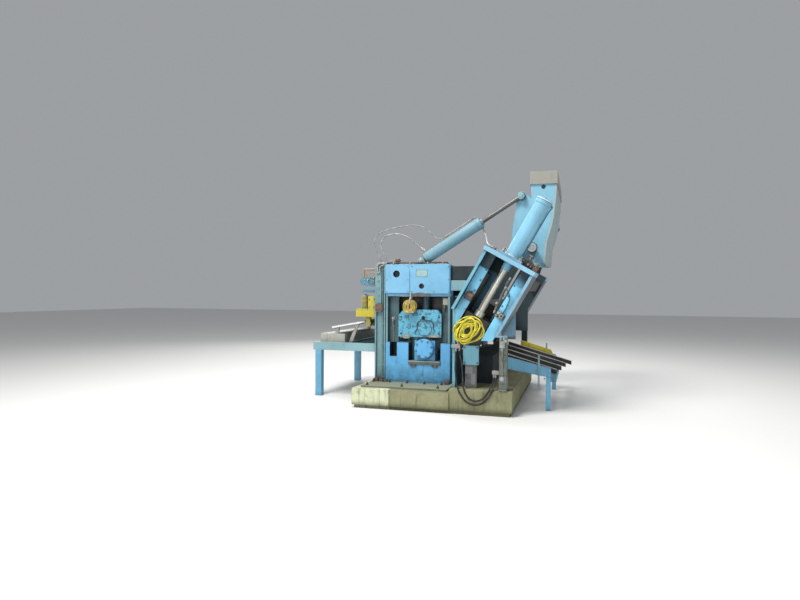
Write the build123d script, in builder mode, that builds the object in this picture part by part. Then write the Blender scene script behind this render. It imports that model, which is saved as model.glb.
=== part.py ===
from build123d import *
import math
import os

# Roller leveler stand of a strip line. Millimetres, +Z up, +X against the strip (entry side),
# the operator's side faces -Y. Origin on the floor under the middle of the machine.

# ---------------------------------------------------------------- driving dimensions
plinth_top = 280            # top of the concrete plinth
plinth_x0, plinth_x1 = -1020, 1260
plinth_half = 1650          # half of the plinth's depth
pad_x, pad_top, pad_half = 400, 345, 1625   # higher block of the plinth under the slides
kick_in, kick_h = 30, 45    # recess along the plinth's foot
sole_t = 25                 # sole plates under the housings
stand_y0, stand_y1 = 830, 1030   # inner and outer face of each housing
stand_x0, stand_x1 = -715, 284
post_x0 = -890
window_top = 1600
sill_z = 903                # top of the housing block, the window's sill
crown_top = 2070
roll_x = -106               # both pinch rolls stand over each other
low_roll_z = 821
roll_r = 140
roll_gap = 12
up_roll_z = low_roll_z + 2 * roll_r + roll_gap
roll_half = 790             # half of the roll's face
journal_r = 75
fit = 0.05                  # radial running clearance at journals and pins

lean = math.radians(29.5)   # the press slide leans this far to the entry side
ux, uz = math.sin(lean), math.cos(lean)
nx, nz = math.cos(lean), -math.sin(lean)
slide_x, slide_z = 1224, 2111    # where the slide's middle line meets the top plate
slide_y0, slide_y1 = 1000, 1620  # inner and outer face of each slide frame
press_n, press_y = -20, 1400     # press cylinder's axis in the slide frame
press_stroke = 600

arm_px, arm_pz = 1456, 2302      # the arm's pivot
lug_x, lug_z = 1293, 3047        # pin of the lift cylinder on the arm
base_x, base_z = -171, 2133      # pin of the lift cylinder on the crown
lift_y = 933
arm_y0, arm_y1 = 860, 900        # inner and outer face of the arm's side plates

table_slope = 0.285              # fall of the entry table per unit of length
half_len = 1980


def sp(n, t):
    """Point of the leaning slide: n across it, t along it."""
    return (slide_x + t * ux + n * nx, slide_z + t * uz + n * nz)


def slide_plane(n, t, y):
    x, z = sp(n, t)
    return Plane(origin=(x, y, z), x_dir=(nx, 0, nz), z_dir=(ux, 0, uz))


lift_len = math.hypot(lug_x - base_x, lug_z - base_z)
lx, lz = (lug_x - base_x) / lift_len, (lug_z - base_z) / lift_len


def lift_plane(s, y):
    return Plane(origin=(base_x + s * lx, y, base_z + s * lz), x_dir=(0, 1, 0), z_dir=(lx, 0, lz))


os.makedirs("parts", exist_ok=True)


def save(part, name):
    part.label = name
    export_step(part, "parts/" + name + ".step")


# ---------------------------------------------------------------- plinth and sole plates
with BuildPart() as plinth:
    with BuildSketch(Plane.XY):
        with Locations(((plinth_x0 + plinth_x1) / 2, 0)):
            Rectangle(plinth_x1 - plinth_x0 - 2 * kick_in, 2 * plinth_half - 2 * kick_in)
    extrude(amount=kick_h)
    with BuildSketch(Plane.XY.offset(kick_h)):
        with Locations(((plinth_x0 + plinth_x1) / 2, 0)):
            Rectangle(plinth_x1 - plinth_x0, 2 * plinth_half)
    extrude(amount=plinth_top - kick_h)
    with BuildSketch(Plane.XY.offset(kick_h)):
        with Locations(((pad_x + plinth_x1) / 2, plinth_half), ((pad_x + plinth_x1) / 2, -plinth_half)):
            Rectangle(plinth_x1 - pad_x, 2 * (plinth_half - pad_half))
    extrude(amount=plinth_top - kick_h, mode=Mode.SUBTRACT)
    with BuildSketch(Plane.XY.offset(plinth_top)):
        with Locations(((pad_x + plinth_x1) / 2, 0)):
            Rectangle(plinth_x1 - pad_x, 2 * pad_half)
    extrude(amount=pad_top - plinth_top)
    chamfer(plinth.faces().sort_by(Axis.Z)[-1].edges(), length=12)
save(plinth.part, "plinth")

with BuildPart() as sole_plates:
    with BuildSketch(Plane.XY.offset(plinth_top)):
        with Locations(((post_x0 - 40 + stand_x1 + 60) / 2, -1155)):
            Rectangle(stand_x1 + 60 - post_x0 + 40, 730)
    extrude(amount=sole_t)
    mirror(about=Plane.XZ)
save(sole_plates.part, "sole_plates")
foot = plinth_top + sole_t

# ---------------------------------------------------------------- exit-side posts
with BuildPart() as exit_posts:
    with BuildSketch(Plane.XY.offset(foot)):
        with Locations((post_x0 + 11, -(stand_y0 + stand_y1) / 2), (post_x0 + 154, -(stand_y0 + stand_y1) / 2)):
            Rectangle(22, stand_y1 - stand_y0)
        with Locations((post_x0 + 82.5, -stand_y1 + 36)):
            Rectangle(130, 20)
    extrude(amount=2080 - foot)
    with BuildSketch(Plane.XY.offset(1360)):
        with Locations((post_x0 + 61, -stand_y1 + 8)):
            Rectangle(84, 16)
    extrude(amount=2080 - 1360)
    mirror(about=Plane.XZ)
save(exit_posts.part, "exit_posts")

# ---------------------------------------------------------------- roll housings
slot_x0, slot_x1, slot_floor = -354, 143, 583
with BuildPart() as roll_housings:
    with BuildSketch(Plane.XZ.offset(stand_y0)):
        with BuildLine():
            Polyline(
                (stand_x0, foot), (stand_x1, foot), (stand_x1, sill_z), (slot_x1, sill_z), (slot_x1, slot_floor),
                (slot_x0, slot_floor), (slot_x0, sill_z), (stand_x0, sill_z), close=True,
            )
        make_face()
    extrude(amount=stand_y1 - stand_y0)
    # narrow pocket beside the slot, with a back wall
    with BuildSketch(Plane.XZ.offset(stand_y0 + 40)):
        with Locations((-591, (691 + sill_z + 10) / 2)):
            Rectangle(114, sill_z + 10 - 691)
    extrude(amount=200, mode=Mode.SUBTRACT)
    mirror(about=Plane.XZ)
save(roll_housings.part, "roll_housings")

# cheeks on both sides of the window, each with the guide that the chocks slide on
with BuildPart() as window_cheeks:
    with BuildSketch(Plane.XY.offset(sill_z)):
        with Locations((stand_x0 + 17, -930), (stand_x1 - 17, -930)):
            Rectangle(34, 200)
    extrude(amount=window_top - sill_z)
    with BuildSketch(Plane.XY.offset(sill_z)):
        with Locations((-615, -925)):
            Rectangle(174, 60)
        with Locations((209, -925)):
            Rectangle(108, 60)
    extrude(amount=window_top - sill_z)
    mirror(about=Plane.XZ)
save(window_cheeks.part, "window_cheeks")

# ---------------------------------------------------------------- crown
with BuildPart() as crowns:
    with BuildSketch(Plane.XZ.offset(stand_y0)):
        with BuildLine():
            Polyline((stand_x0, window_top), (stand_x1, window_top), (stand_x1, crown_top), (stand_x0, crown_top), close=True)
        make_face()
    extrude(amount=stand_y1 - stand_y0 - 12)
    with BuildSketch(Plane.XZ.offset(stand_y1 - 12)):
        with BuildLine():
            Polyline((stand_x0, 1644), (stand_x1, 1644), (stand_x1, crown_top + 11), (stand_x0, crown_top + 11), close=True)
        make_face()
    extrude(amount=34)
    chamfer(crowns.edges().filter_by(Axis.Z).group_by(Axis.Y)[0].sort_by(Axis.X)[-1], length=14)
    # cover plate with one rounded corner, left of the seam
    with BuildSketch(Plane.XZ.offset(stand_y1 + 22)):
        with BuildLine():
            l1 = Polyline((-334 - 110, crown_top + 6), (stand_x0, crown_top + 6), (stand_x0, 1650), (-334, 1650), (-334, crown_top - 104))
            RadiusArc((-334, crown_top - 104), (-334 - 110, crown_top + 6), -110)
        make_face()
    extrude(amount=8)
    # round sighting hole, small hole and the two screw bores from below
    with BuildSketch(Plane.XZ.offset(stand_y1 + 40)):
        with Locations((-539, 1936)):
            Circle(53)
        with Locations((-149, 1754)):
            Circle(39)
    extrude(amount=-52, mode=Mode.SUBTRACT)
    with BuildSketch(Plane.XY.offset(window_top)):
        with Locations((roll_x, -925)):
            Circle(66)
    extrude(amount=220, mode=Mode.SUBTRACT)
    mirror(about=Plane.XZ)
save(crowns.part, "crowns")

with BuildPart() as crown_beam:
    with BuildSketch(Plane.XZ.offset(-stand_y0)):
        with Locations(((stand_x0 + stand_x1) / 2, (1705 + 2045) / 2)):
            Rectangle(860, 2045 - 1705)
    extrude(amount=2 * stand_y0)
save(crown_beam.part, "crown_beam")

# ---------------------------------------------------------------- bed under the rolls
with BuildPart() as bed_beam:
    with BuildSketch(Plane.XZ.offset(-stand_y0)):
        with Locations((roll_x, (foot + 620) / 2)):
            Rectangle(620, 620 - foot)
    extrude(amount=2 * stand_y0)
    with BuildSketch(Plane.XZ.offset(-slide_y0)):
        with Locations(((480 + 915) / 2, (pad_top + 745) / 2)):
            Rectangle(915 - 480, 745 - pad_top)
    extrude(amount=2 * slide_y0)
save(bed_beam.part, "bed_beam")

# ---------------------------------------------------------------- lower chocks, keeper bars, lower roll
with BuildPart() as keeper_bars:
    with BuildSketch(Plane.XZ.offset(stand_y0 + 10)):
        with Locations(((slot_x0 + slot_x1) / 2, slot_floor + 27)):
            Rectangle(slot_x1 - slot_x0 - 4, 54)
    extrude(amount=205)
    with BuildSketch(Plane.XZ.offset(stand_y1)):
        with Locations((-275, 575), (58, 575)):
            Rectangle(90, 60)
    extrude(amount=12)
    mirror(about=Plane.XZ)
save(keeper_bars.part, "keeper_bars")

with BuildPart() as lower_chocks:
    with BuildSketch(Plane.XZ.offset(stand_y0 + 15)):
        with Locations((roll_x, (637 + 940) / 2)):
            Rectangle(315, 940 - 637)
        with Locations((roll_x, low_roll_z)):
            Circle(journal_r + fit, mode=Mode.SUBTRACT)
    extrude(amount=160)
    with BuildSketch(Plane.XZ.offset(stand_y0 + 175)):
        with Locations((roll_x, low_roll_z)):
            Circle(146)
    extrude(amount=70)
    chamfer(lower_chocks.faces().sort_by(Axis.Y)[0].edges(), length=12)
    mirror(about=Plane.XZ)
save(lower_chocks.part, "lower_chocks")

with BuildPart() as lower_roll:
    with BuildSketch(Plane.XZ.offset(-roll_half)):
        with Locations((roll_x, low_roll_z)):
            Circle(roll_r)
    extrude(amount=2 * roll_half)
    with BuildSketch(Plane.XZ.offset(-(stand_y0 + 165))):
        with Locations((roll_x, low_roll_z)):
            Circle(journal_r)
    extrude(amount=2 * (stand_y0 + 165))
save(lower_roll.part, "lower_roll")

# ---------------------------------------------------------------- upper chocks, screws and upper roll
with BuildPart() as upper_chocks:
    with BuildSketch(Plane.XZ.offset(stand_y0 + 15)):
        with BuildLine():
            Polyline(
                (-520, 990), (147, 990), (147, 1330), (80, 1400), (-440, 1400), (-520, 1320), close=True,
            )
        make_face()
        with Locations((roll_x, up_roll_z)):
            Circle(journal_r + fit, mode=Mode.SUBTRACT)
    extrude(amount=160)
    with BuildSketch(Plane.XZ.offset(stand_y0 + 175)):
        with Locations((roll_x, up_roll_z)):
            Circle(100)
    extrude(amount=12)
    with BuildSketch(Plane.XZ.offset(stand_y0 + 200)):
        with Locations((-129, 1278)):
            Circle(30)
    extrude(amount=-80, mode=Mode.SUBTRACT)
    with BuildSketch(Plane.XY.offset(1400)):
        with Locations((roll_x, -925)):
            Circle(55)
    extrude(amount=250)
    mirror(about=Plane.XZ)
save(upper_chocks.part, "upper_chocks")

with BuildPart() as upper_yoke:
    with BuildSketch(Plane.XZ.offset(-(stand_y0 + 15))):
        with Locations((-200, 1384)):
            Rectangle(780, 208)
    extrude(amount=2 * (stand_y0 + 15))
    with BuildSketch(Plane.XZ.offset(-(stand_y0 - 10))):
        with Locations((-200, (1480 + 1592) / 2)):
            Rectangle(780, 1592 - 1480)
    extrude(amount=2 * (stand_y0 - 10))
save(upper_yoke.part, "upper_yoke")

with BuildPart() as upper_roll:
    with BuildSketch(Plane.XZ.offset(-roll_half)):
        with Locations((roll_x, up_roll_z)):
            Circle(roll_r)
    extrude(amount=2 * roll_half)
    with BuildSketch(Plane.XZ.offset(-(stand_y0 + 165))):
        with Locations((roll_x, up_roll_z)):
            Circle(journal_r)
    extrude(amount=2 * (stand_y0 + 165))
save(upper_roll.part, "upper_roll")

# ---------------------------------------------------------------- bridge between crown and slide


def bridge_x(z):
    """X of the bridge's right end at height z, beside the leaning left plate."""
    return sp(-375, (z - slide_z + 375 * nz) / uz)[0]


with BuildPart() as bridge_plates:
    with BuildSketch(Plane.XZ.offset(slide_y0 - 40)):
        with BuildLine():
            Polyline((stand_x1, 1690), (bridge_x(1690), 1690), (bridge_x(1840), 1840), (stand_x1, 1840), close=True)
        make_face()
    extrude(amount=60)
    mirror(about=Plane.XZ)
save(bridge_plates.part, "bridge_plates")

with BuildPart() as bridge_hoods:
    with BuildSketch(Plane.XZ.offset(slide_y0 - 40)):
        with BuildLine():
            Polyline((stand_x1, 1840), (bridge_x(1840), 1840), (bridge_x(2050), 2050), (stand_x1, 2050), close=True)
        make_face()
    extrude(amount=25)
    mirror(about=Plane.XZ)
save(bridge_hoods.part, "bridge_hoods")

# ---------------------------------------------------------------- leaning slide frames
rim = 40          # thickness of the slide frame's outer plates
n_out = 371
left_x = 420
web_y0, web_y1 = 1475, 1500
t_left = (left_x - slide_x + n_out * nx) / ux          # where the leaning left plate turns upright
t_left_in = (left_x + rim - slide_x + (n_out - rim) * nx) / ux
right_x = 1183
cap_z = 1060                                           # top of the box post under the right plate


def on_z(n, z):
    """Point of the slide line n at height z."""
    return sp(n, (z - slide_z - n * nz) / uz)



with BuildPart() as slide_left_plates:
    # leaning flange
    with BuildSketch(Plane.XZ.offset(slide_y0)):
        with BuildLine():
            Polyline(
                (left_x, sp(-n_out, t_left)[1]), sp(-n_out, -60), sp(-n_out + rim, -60),
                (left_x + rim, sp(-n_out + rim, t_left_in)[1]), close=True,
            )
        make_face()
    extrude(amount=slide_y1 - slide_y0)
    # upright part, flush with the web
    with BuildSketch(Plane.XZ.offset(slide_y0)):
        with BuildLine():
            Polyline(
                (left_x, pad_top), (left_x, sp(-n_out, t_left)[1]),
                (left_x + rim, sp(-n_out + rim, t_left_in)[1]), (left_x + rim, pad_top), close=True,
            )
        make_face()
    extrude(amount=web_y1 - slide_y0)
    mirror(about=Plane.XZ)
save(slide_left_plates.part, "slide_left_plates")

with BuildPart() as slide_right_plates:
    # leaning plate
    with BuildSketch(Plane.XZ.offset(slide_y0)):
        with BuildLine():
            Polyline(sp(n_out, -60), on_z(n_out, cap_z), on_z(n_out - rim, cap_z), sp(n_out - rim, -60), close=True)
        make_face()
    extrude(amount=slide_y1 - slide_y0)
    # upright plate behind it, over the entry table
    with BuildSketch(Plane.XZ.offset(slide_y0)):
        with BuildLine():
            Polyline(
                (1010, 1000), (1235, 1000), (1235, on_z(n_out, 1370)[1]), on_z(n_out - 8, 1370),
                on_z(n_out - rim, 1370), on_z(n_out - rim, 1100), close=True,
            )
        make_face()
    extrude(amount=40)
    # cap plate and box post
    with BuildSketch(Plane.XZ.offset(slide_y1 - 120)):
        with BuildLine():
            Polyline((1005, cap_z), (right_x, cap_z), (right_x, cap_z + 27), (1005, cap_z + 27), close=True)
        make_face()
        with BuildLine():
            Polyline((1083, pad_top), (right_x, pad_top), (right_x, cap_z + 5), (1083, cap_z + 5), close=True)
        make_face()
    extrude(amount=120)
    mirror(about=Plane.XZ)
save(slide_right_plates.part, "slide_right_plates")

inner_web = 22


def on_x(n, x):
    """Point of the slide line n at the given X."""
    return sp(n, (x - slide_x - n * nx) / ux)


slot_l, slot_r = -206, 190
t_slot_l = (left_x + rim - slide_x - slot_l * nx) / ux
with BuildPart() as slide_webs:
    with BuildSketch(Plane.XZ.offset(web_y0)):
        with BuildLine():
            Polyline(
                (left_x + rim, sp(slot_l, t_slot_l)[1]), (left_x + rim, sp(-n_out + rim, t_left_in)[1]),
                sp(-n_out + rim, -60), sp(slot_l, -60), close=True,
            )
        make_face()
        with BuildLine():
            Polyline(
                sp(slot_r, -60), sp(n_out - rim, -60), on_z(n_out - rim, 1000), on_z(slot_r, 1000), close=True,
            )
        make_face()
    extrude(amount=web_y1 - web_y0)
    with BuildSketch(Plane.XZ.offset(slide_y0)):
        with BuildLine():
            Polyline(
                (left_x + rim, on_x(-125, left_x + rim)[1]), (left_x + rim, sp(-n_out + rim, t_left_in)[1]),
                sp(-n_out + rim, -60), sp(-125, -60), close=True,
            )
        make_face()
        with BuildLine():
            Polyline(
                sp(125, -60), sp(n_out - rim, -60), on_z(n_out - rim, 1100), on_z(125, 1100), close=True,
            )
        make_face()
    extrude(amount=inner_web)
    mirror(about=Plane.XZ)
save(slide_webs.part, "slide_webs")

with BuildPart() as slide_guides:
    with BuildSketch(Plane.XZ.offset(slide_y0 + inner_web)):
        with BuildLine():
            Polyline(sp(slot_l - 18, -1080), sp(slot_l - 18, -330), sp(slot_l, -330), sp(slot_l, -1080), close=True)
        make_face()
        with BuildLine():
            Polyline(sp(slot_r, -1180), sp(slot_r, -360), sp(slot_r + 18, -360), sp(slot_r + 18, -1180), close=True)
        make_face()
    extrude(amount=web_y0 - slide_y0 - inner_web)
    mirror(about=Plane.XZ)
save(slide_guides.part, "slide_guides")

with BuildPart() as slide_top_plates:
    with BuildSketch(Plane.XZ.offset(slide_y0)):
        with BuildLine():
            Polyline(sp(-390, -60), sp(375, -60), sp(375, 0), sp(-390, 0), close=True)
        make_face()
    extrude(amount=slide_y1 - slide_y0 + 20)
    with BuildSketch(slide_plane(press_n, 0, -press_y)):
        Rectangle(330, 330)
    extrude(amount=35)
    with BuildSketch(slide_plane(press_n, -80, -press_y)):
        Circle(62.5)
    extrude(amount=160, mode=Mode.SUBTRACT)
    mirror(about=Plane.XZ)
save(slide_top_plates.part, "slide_top_plates")

with BuildPart() as slide_tie_beam:
    with BuildSketch(Plane.XZ.offset(-slide_y0)):
        with BuildLine():
            Polyline(sp(215, -300), sp(331, -300), sp(331, -130), sp(215, -130), close=True)
        make_face()
    extrude(amount=2 * slide_y0)
save(slide_tie_beam.part, "slide_tie_beam")

# ---------------------------------------------------------------- press cylinders
with BuildPart() as press_cylinders:
    with BuildSketch(slide_plane(press_n, 35, -press_y)):
        Circle(107.5)
    extrude(amount=830)
    with BuildSketch(slide_plane(press_n, 835, -press_y)):
        Circle(114)
    extrude(amount=70)
    with BuildSketch(slide_plane(press_n, -170, -press_y)):
        Circle(62)
    extrude(amount=205)
    with BuildSketch(slide_plane(press_n, -180, -press_y)):
        Circle(46)
    extrude(amount=930, mode=Mode.SUBTRACT)
    mirror(about=Plane.XZ)
save(press_cylinders.part, "press_cylinders")

# ---------------------------------------------------------------- carriage of the bending roll
bend_n, bend_t, bend_r = 20, -1290, 110
bend_x, bend_z = sp(bend_n, bend_t)
with BuildPart() as press_rods:
    with BuildSketch(slide_plane(press_n, -905, -press_y)):
        Circle(45)
    extrude(amount=965)
    with BuildSketch(slide_plane(press_n, -905, -press_y)):
        Circle(68)
    extrude(amount=75)
    mirror(about=Plane.XZ)
save(press_rods.part, "press_rods")

with BuildPart() as crossheads:
    with BuildSketch(Plane.XZ.offset(slide_y0 + inner_web + 8)):
        with BuildLine():
            Polyline(
                sp(-190, -905), sp(172, -905), on_z(172, 790), (610, 790), (560, 880), sp(-80, -1360),
                sp(-80, -1200), sp(-190, -1180), close=True,
            )
        make_face()
        with Locations((bend_x, bend_z)):
            Circle(50 + fit, mode=Mode.SUBTRACT)
    extrude(amount=web_y0 - slide_y0 - inner_web - 18)
    # peg that carries the hose bundle
    with BuildSketch(Plane.XZ.offset(web_y0 - 10)):
        with Locations((675, 1222)):
            Circle(20)
    extrude(amount=slide_y1 + 8 - (web_y0 - 10))
    mirror(about=Plane.XZ)
save(crossheads.part, "crossheads")

with BuildPart() as carriage_beam:
    with BuildSketch(Plane.XZ.offset(-(slide_y0 + inner_web + 8))):
        with BuildLine():
            Polyline(sp(-110, -1145), sp(110, -1145), sp(110, -700), sp(-110, -700), close=True)
        make_face()
    extrude(amount=2 * (slide_y0 + inner_web + 8))
save(carriage_beam.part, "carriage_beam")

with BuildPart() as bending_roll:
    with BuildSketch(Plane.XZ.offset(-roll_half)):
        with Locations((bend_x, bend_z)):
            Circle(bend_r)
    extrude(amount=2 * roll_half)
    with BuildSketch(Plane.XZ.offset(-(slide_y0 + 452))):
        with Locations((bend_x, bend_z)):
            Circle(50)
    extrude(amount=2 * (slide_y0 + 452))
save(bending_roll.part, "bending_roll")

# upright stop plate in front of each crosshead's foot
with BuildPart() as stop_plates:
    with BuildSketch(Plane.XZ.offset(1471)):
        with BuildLine():
            Polyline((568, 665), (790, 665), (790, 932), (568, 932), close=True)
        make_face()
        with BuildLine():
            Polyline((600, pad_top), (760, pad_top), (760, 700), (600, 700), close=True)
        make_face()
    extrude(amount=28)
    mirror(about=Plane.XZ)
save(stop_plates.part, "stop_plates")

# ---------------------------------------------------------------- swinging arm
with BuildPart() as arm_brackets:
    with BuildSketch(Plane.XZ.offset(slide_y0 + 10)):
        with BuildLine():
            Polyline(sp(40, 0), sp(240, 0), (arm_px + 70, arm_pz - 30), (arm_px + 70, arm_pz), (arm_px - 70, arm_pz), close=True)
        make_face()
        with Locations((arm_px, arm_pz)):
            Circle(75)
            Circle(45 + fit, mode=Mode.SUBTRACT)
    extrude(amount=50)
    mirror(about=Plane.XZ)
save(arm_brackets.part, "arm_brackets")

with BuildPart() as arm_side_plates:
    with BuildSketch(Plane.XZ.offset(arm_y0)):
        with BuildLine():
            Polyline(
                (1221, 3040), (1219, 2903), (1169, 2599), (1158, 2447), (1104, 2267), (1210, 2190), (1474, 2099),
                (1595, 2099), (1627, 2401), (1689, 2617), (1716, 2760), (1747, 3049), (1753, 3212), (1423, 3212),
                (1430, 3010), (1352, 3090), (1293, 3060), close=True,
            )
        make_face()
        with Locations((lug_x, lug_z + 3)):
            Circle(72)
        with Locations((arm_px, arm_pz)):
            Circle(45 + fit, mode=Mode.SUBTRACT)
        with Locations((1598, 3175)):
            Circle(32, mode=Mode.SUBTRACT)
    extrude(amount=arm_y1 - arm_y0)
    mirror(about=Plane.XZ)
save(arm_side_plates.part, "arm_side_plates")

with BuildPart() as arm_table_plate:
    with BuildSketch(Plane.XZ.offset(-arm_y1)):
        with BuildLine():
            Polyline(
                (1595, 2099), (1625, 2099), (1657, 2399), (1719, 2615), (1746, 2758), (1777, 3049), (1783, 3212),
                (1753, 3212), (1747, 3049), (1716, 2760), (1689, 2617), (1627, 2401), close=True,
            )
        make_face()
    extrude(amount=2 * arm_y1)
save(arm_table_plate.part, "arm_table_plate")

with BuildPart() as arm_cross_beams:
    with BuildSketch(Plane.XZ.offset(-arm_y0)):
        with BuildLine():
            Polyline((1370, 2860), (1590, 2860), (1600, 3040), (1380, 3040), close=True)
        make_face()
        with BuildLine():
            Polyline((1300, 2400), (1480, 2400), (1490, 2560), (1310, 2560), close=True)
        make_face()
    extrude(amount=2 * arm_y0)
save(arm_cross_beams.part, "arm_cross_beams")

with BuildPart() as arm_tip_block:
    with BuildSketch(Plane.XZ.offset(-920)):
        with BuildLine():
            Polyline((1409, 3212), (1795, 3212), (1790, 3392), (1409, 3398), close=True)
        make_face()
    extrude(amount=1840)
save(arm_tip_block.part, "arm_tip_block")

with BuildPart() as arm_pivot_shaft:
    with BuildSketch(Plane.XZ.offset(-1066)):
        with Locations((arm_px, arm_pz)):
            Circle(45)
    extrude(amount=2132)
    with BuildSketch(Plane.XZ.offset(1066)):
        with Locations((arm_px, arm_pz)):
            Circle(64)
    extrude(amount=16)
    with BuildSketch(Plane.XZ.offset(-1066)):
        with Locations((arm_px, arm_pz)):
            Circle(64)
    extrude(amount=-16)
save(arm_pivot_shaft.part, "arm_pivot_shaft")

# ---------------------------------------------------------------- lift cylinders
with BuildPart() as lift_clevises:
    with BuildSketch(Plane.XZ.offset(lift_y - 80)):
        with Locations((base_x, crown_top + 12)):
            Rectangle(190, 24)
    extrude(amount=160)
    with BuildSketch(Plane.XZ.offset(lift_y - 80)):
        with BuildLine():
            Polyline((base_x - 80, crown_top + 24), (base_x + 80, crown_top + 24), (base_x + 50, base_z), (base_x - 50, base_z), close=True)
        make_face()
        with Locations((base_x, base_z)):
            Circle(50)
    extrude(amount=30)
    with BuildSketch(Plane.XZ.offset(lift_y + 50)):
        with BuildLine():
            Polyline((base_x - 80, crown_top + 24), (base_x + 80, crown_top + 24), (base_x + 50, base_z), (base_x - 50, base_z), close=True)
        make_face()
        with Locations((base_x, base_z)):
            Circle(50)
    extrude(amount=30)
    with BuildSketch(Plane.XZ.offset(lift_y - 88)):
        with Locations((base_x, base_z)):
            Circle(25)
    extrude(amount=176)
save(lift_clevises.part, "lift_clevises")

with BuildPart() as lift_barrels:
    with BuildSketch(Plane.XZ.offset(lift_y - 44)):
        with Locations((base_x, base_z)):
            Circle(36)
    extrude(amount=88)
    with BuildSketch(lift_plane(20, -lift_y)):
        Rectangle(70, 56)
    extrude(amount=60)
    with BuildSketch(lift_plane(70, -lift_y)):
        Circle(78)
    extrude(amount=30)
    with BuildSketch(lift_plane(100, -lift_y)):
        Circle(83)
    extrude(amount=900)
    with BuildSketch(lift_plane(985, -lift_y)):
        Circle(88)
    extrude(amount=60)
    with BuildSketch(lift_plane(1045, -lift_y)):
        Circle(50)
    extrude(amount=25)
    with BuildSketch(Plane.XZ.offset(lift_y - 60)):
        with Locations((base_x, base_z)):
            Circle(25 + fit)
    extrude(amount=120, mode=Mode.SUBTRACT)
    with BuildSketch(lift_plane(260, -lift_y)):
        Circle(33)
    extrude(amount=900, mode=Mode.SUBTRACT)
save(lift_barrels.part, "lift_barrels")

with BuildPart() as lift_rods:
    with BuildSketch(lift_plane(640, -lift_y)):
        Circle(31.5)
    extrude(amount=lift_len - 640 - 40)
    with BuildSketch(Plane.XZ.offset(lift_y - 27)):
        with Locations((lug_x, lug_z)):
            Circle(58)
    extrude(amount=54)
    with BuildSketch(Plane.XZ.offset(lift_y + 27)):
        with Locations((lug_x, lug_z)):
            Circle(30)
    extrude(amount=14)
save(lift_rods.part, "lift_rods")

# ---------------------------------------------------------------- entry table


def table_z(x):
    return 815 - table_slope * (x - 930)


with BuildPart() as skid_bars:
    for y, x0, x1 in ((-860, 925, half_len), (-310, 985, 1900), (250, 1045, 1850), (800, 1105, 1800)):
        with BuildSketch(Plane.XZ.offset(y)):
            with BuildLine():
                Polyline((x0, table_z(x0)), (x1, table_z(x1)), (x1, table_z(x1) - 62), (x0, table_z(x0) - 62), close=True)
            make_face()
        extrude(amount=60)
save(skid_bars.part, "skid_bars")

with BuildPart() as entry_side_rails:
    with BuildSketch(Plane.XZ.offset(940)):
        with BuildLine():
            Polyline((1114, 739), (1724, 599), (1724, 473), (1114, 572), close=True)
        make_face()
    extrude(amount=60)
    mirror(about=Plane.XZ)
save(entry_side_rails.part, "entry_side_rails")

with BuildPart() as entry_cross_beams:
    with BuildSketch(Plane.XZ.offset(-940)):
        with BuildLine():
            Polyline((1230, table_z(1230) - 62), (1310, table_z(1310) - 62), (1310, 545), (1230, 560), close=True)
        make_face()
    extrude(amount=1880)
    with BuildSketch(Plane.XZ.offset(-1000)):
        with BuildLine():
            Polyline((1724, table_z(1724) - 62), (1800, table_z(1800) - 62), (1800, 410), (1724, 410), close=True)
        make_face()
    extrude(amount=2000)
save(entry_cross_beams.part, "entry_cross_beams")

with BuildPart() as entry_side_guide:
    with BuildSketch(Plane.XZ.offset(-920)):
        with BuildLine():
            Polyline((1130, table_z(1130) - 62), (1670, table_z(1670) - 62), (1670, 620), (1640, 690), (1177, 830), (1130, 830), close=True)
        make_face()
    extrude(amount=40)
save(entry_side_guide.part, "entry_side_guide")

# ---------------------------------------------------------------- exit table
with BuildPart() as exit_side_rails:
    with BuildSketch(Plane.XY.offset(735)):
        with Locations(((-half_len + post_x0) / 2, -870), ((-half_len + post_x0) / 2, 870)):
            Rectangle(half_len + post_x0, 60)
    extrude(amount=125)
save(exit_side_rails.part, "exit_side_rails")

with BuildPart() as exit_cross_beams:
    with BuildSketch(Plane.XY.offset(740)):
        with Locations((-1895, 0), (-1400, 0), (-960, 0)):
            Rectangle(90, 1680)
    extrude(amount=110)
save(exit_cross_beams.part, "exit_cross_beams")

with BuildPart() as exit_tray:
    with BuildSketch(Plane.XZ.offset(-760)):
        with Locations((-1705, 920)):
            Rectangle(420, 140)
    extrude(amount=1520)
save(exit_tray.part, "exit_tray")

with BuildPart() as exit_apron:
    with BuildSketch(Plane.XZ.offset(-780)):
        with BuildLine():
            Polyline((-1712, 1104), (-1140, 1206), (-1140, 1178), (-1712, 1076), close=True)
        make_face()
    extrude(amount=1560)
    with BuildSketch(Plane.XZ.offset(730)):
        with BuildLine():
            Polyline((-1660, 990), (-1600, 990), (-1600, 1080 + 100 / 560 * 100), (-1660, 1080 + 40 / 560 * 100), close=True)
        make_face()
        with BuildLine():
            Polyline((-1430, 850), (-1370, 850), (-1250, 1080 + 450 / 560 * 100), (-1310, 1080 + 390 / 560 * 100), close=True)
        make_face()
    extrude(amount=30)
    mirror(about=Plane.XZ)
save(exit_apron.part, "exit_apron")

with BuildPart() as exit_roller_bearings:
    for y in (-870, 810):
        with BuildSketch(Plane.XZ.offset(y)):
            with Locations((-1061, 1170)):
                Circle(45)
            with Locations((-1061, 1220)):
                Rectangle(70, 100)
            with Locations((-1061, 1170)):
                Circle(25 + fit, mode=Mode.SUBTRACT)
        extrude(amount=60)
save(exit_roller_bearings.part, "exit_roller_bearings")

with BuildPart() as exit_roller:
    with BuildSketch(Plane.XZ.offset(-780)):
        with Locations((-1061, 1170)):
            Circle(58)
    extrude(amount=1560)
    with BuildSketch(Plane.XZ.offset(-870)):
        with Locations((-1061, 1170)):
            Circle(25)
    extrude(amount=1740)
save(exit_roller.part, "exit_roller")

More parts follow.
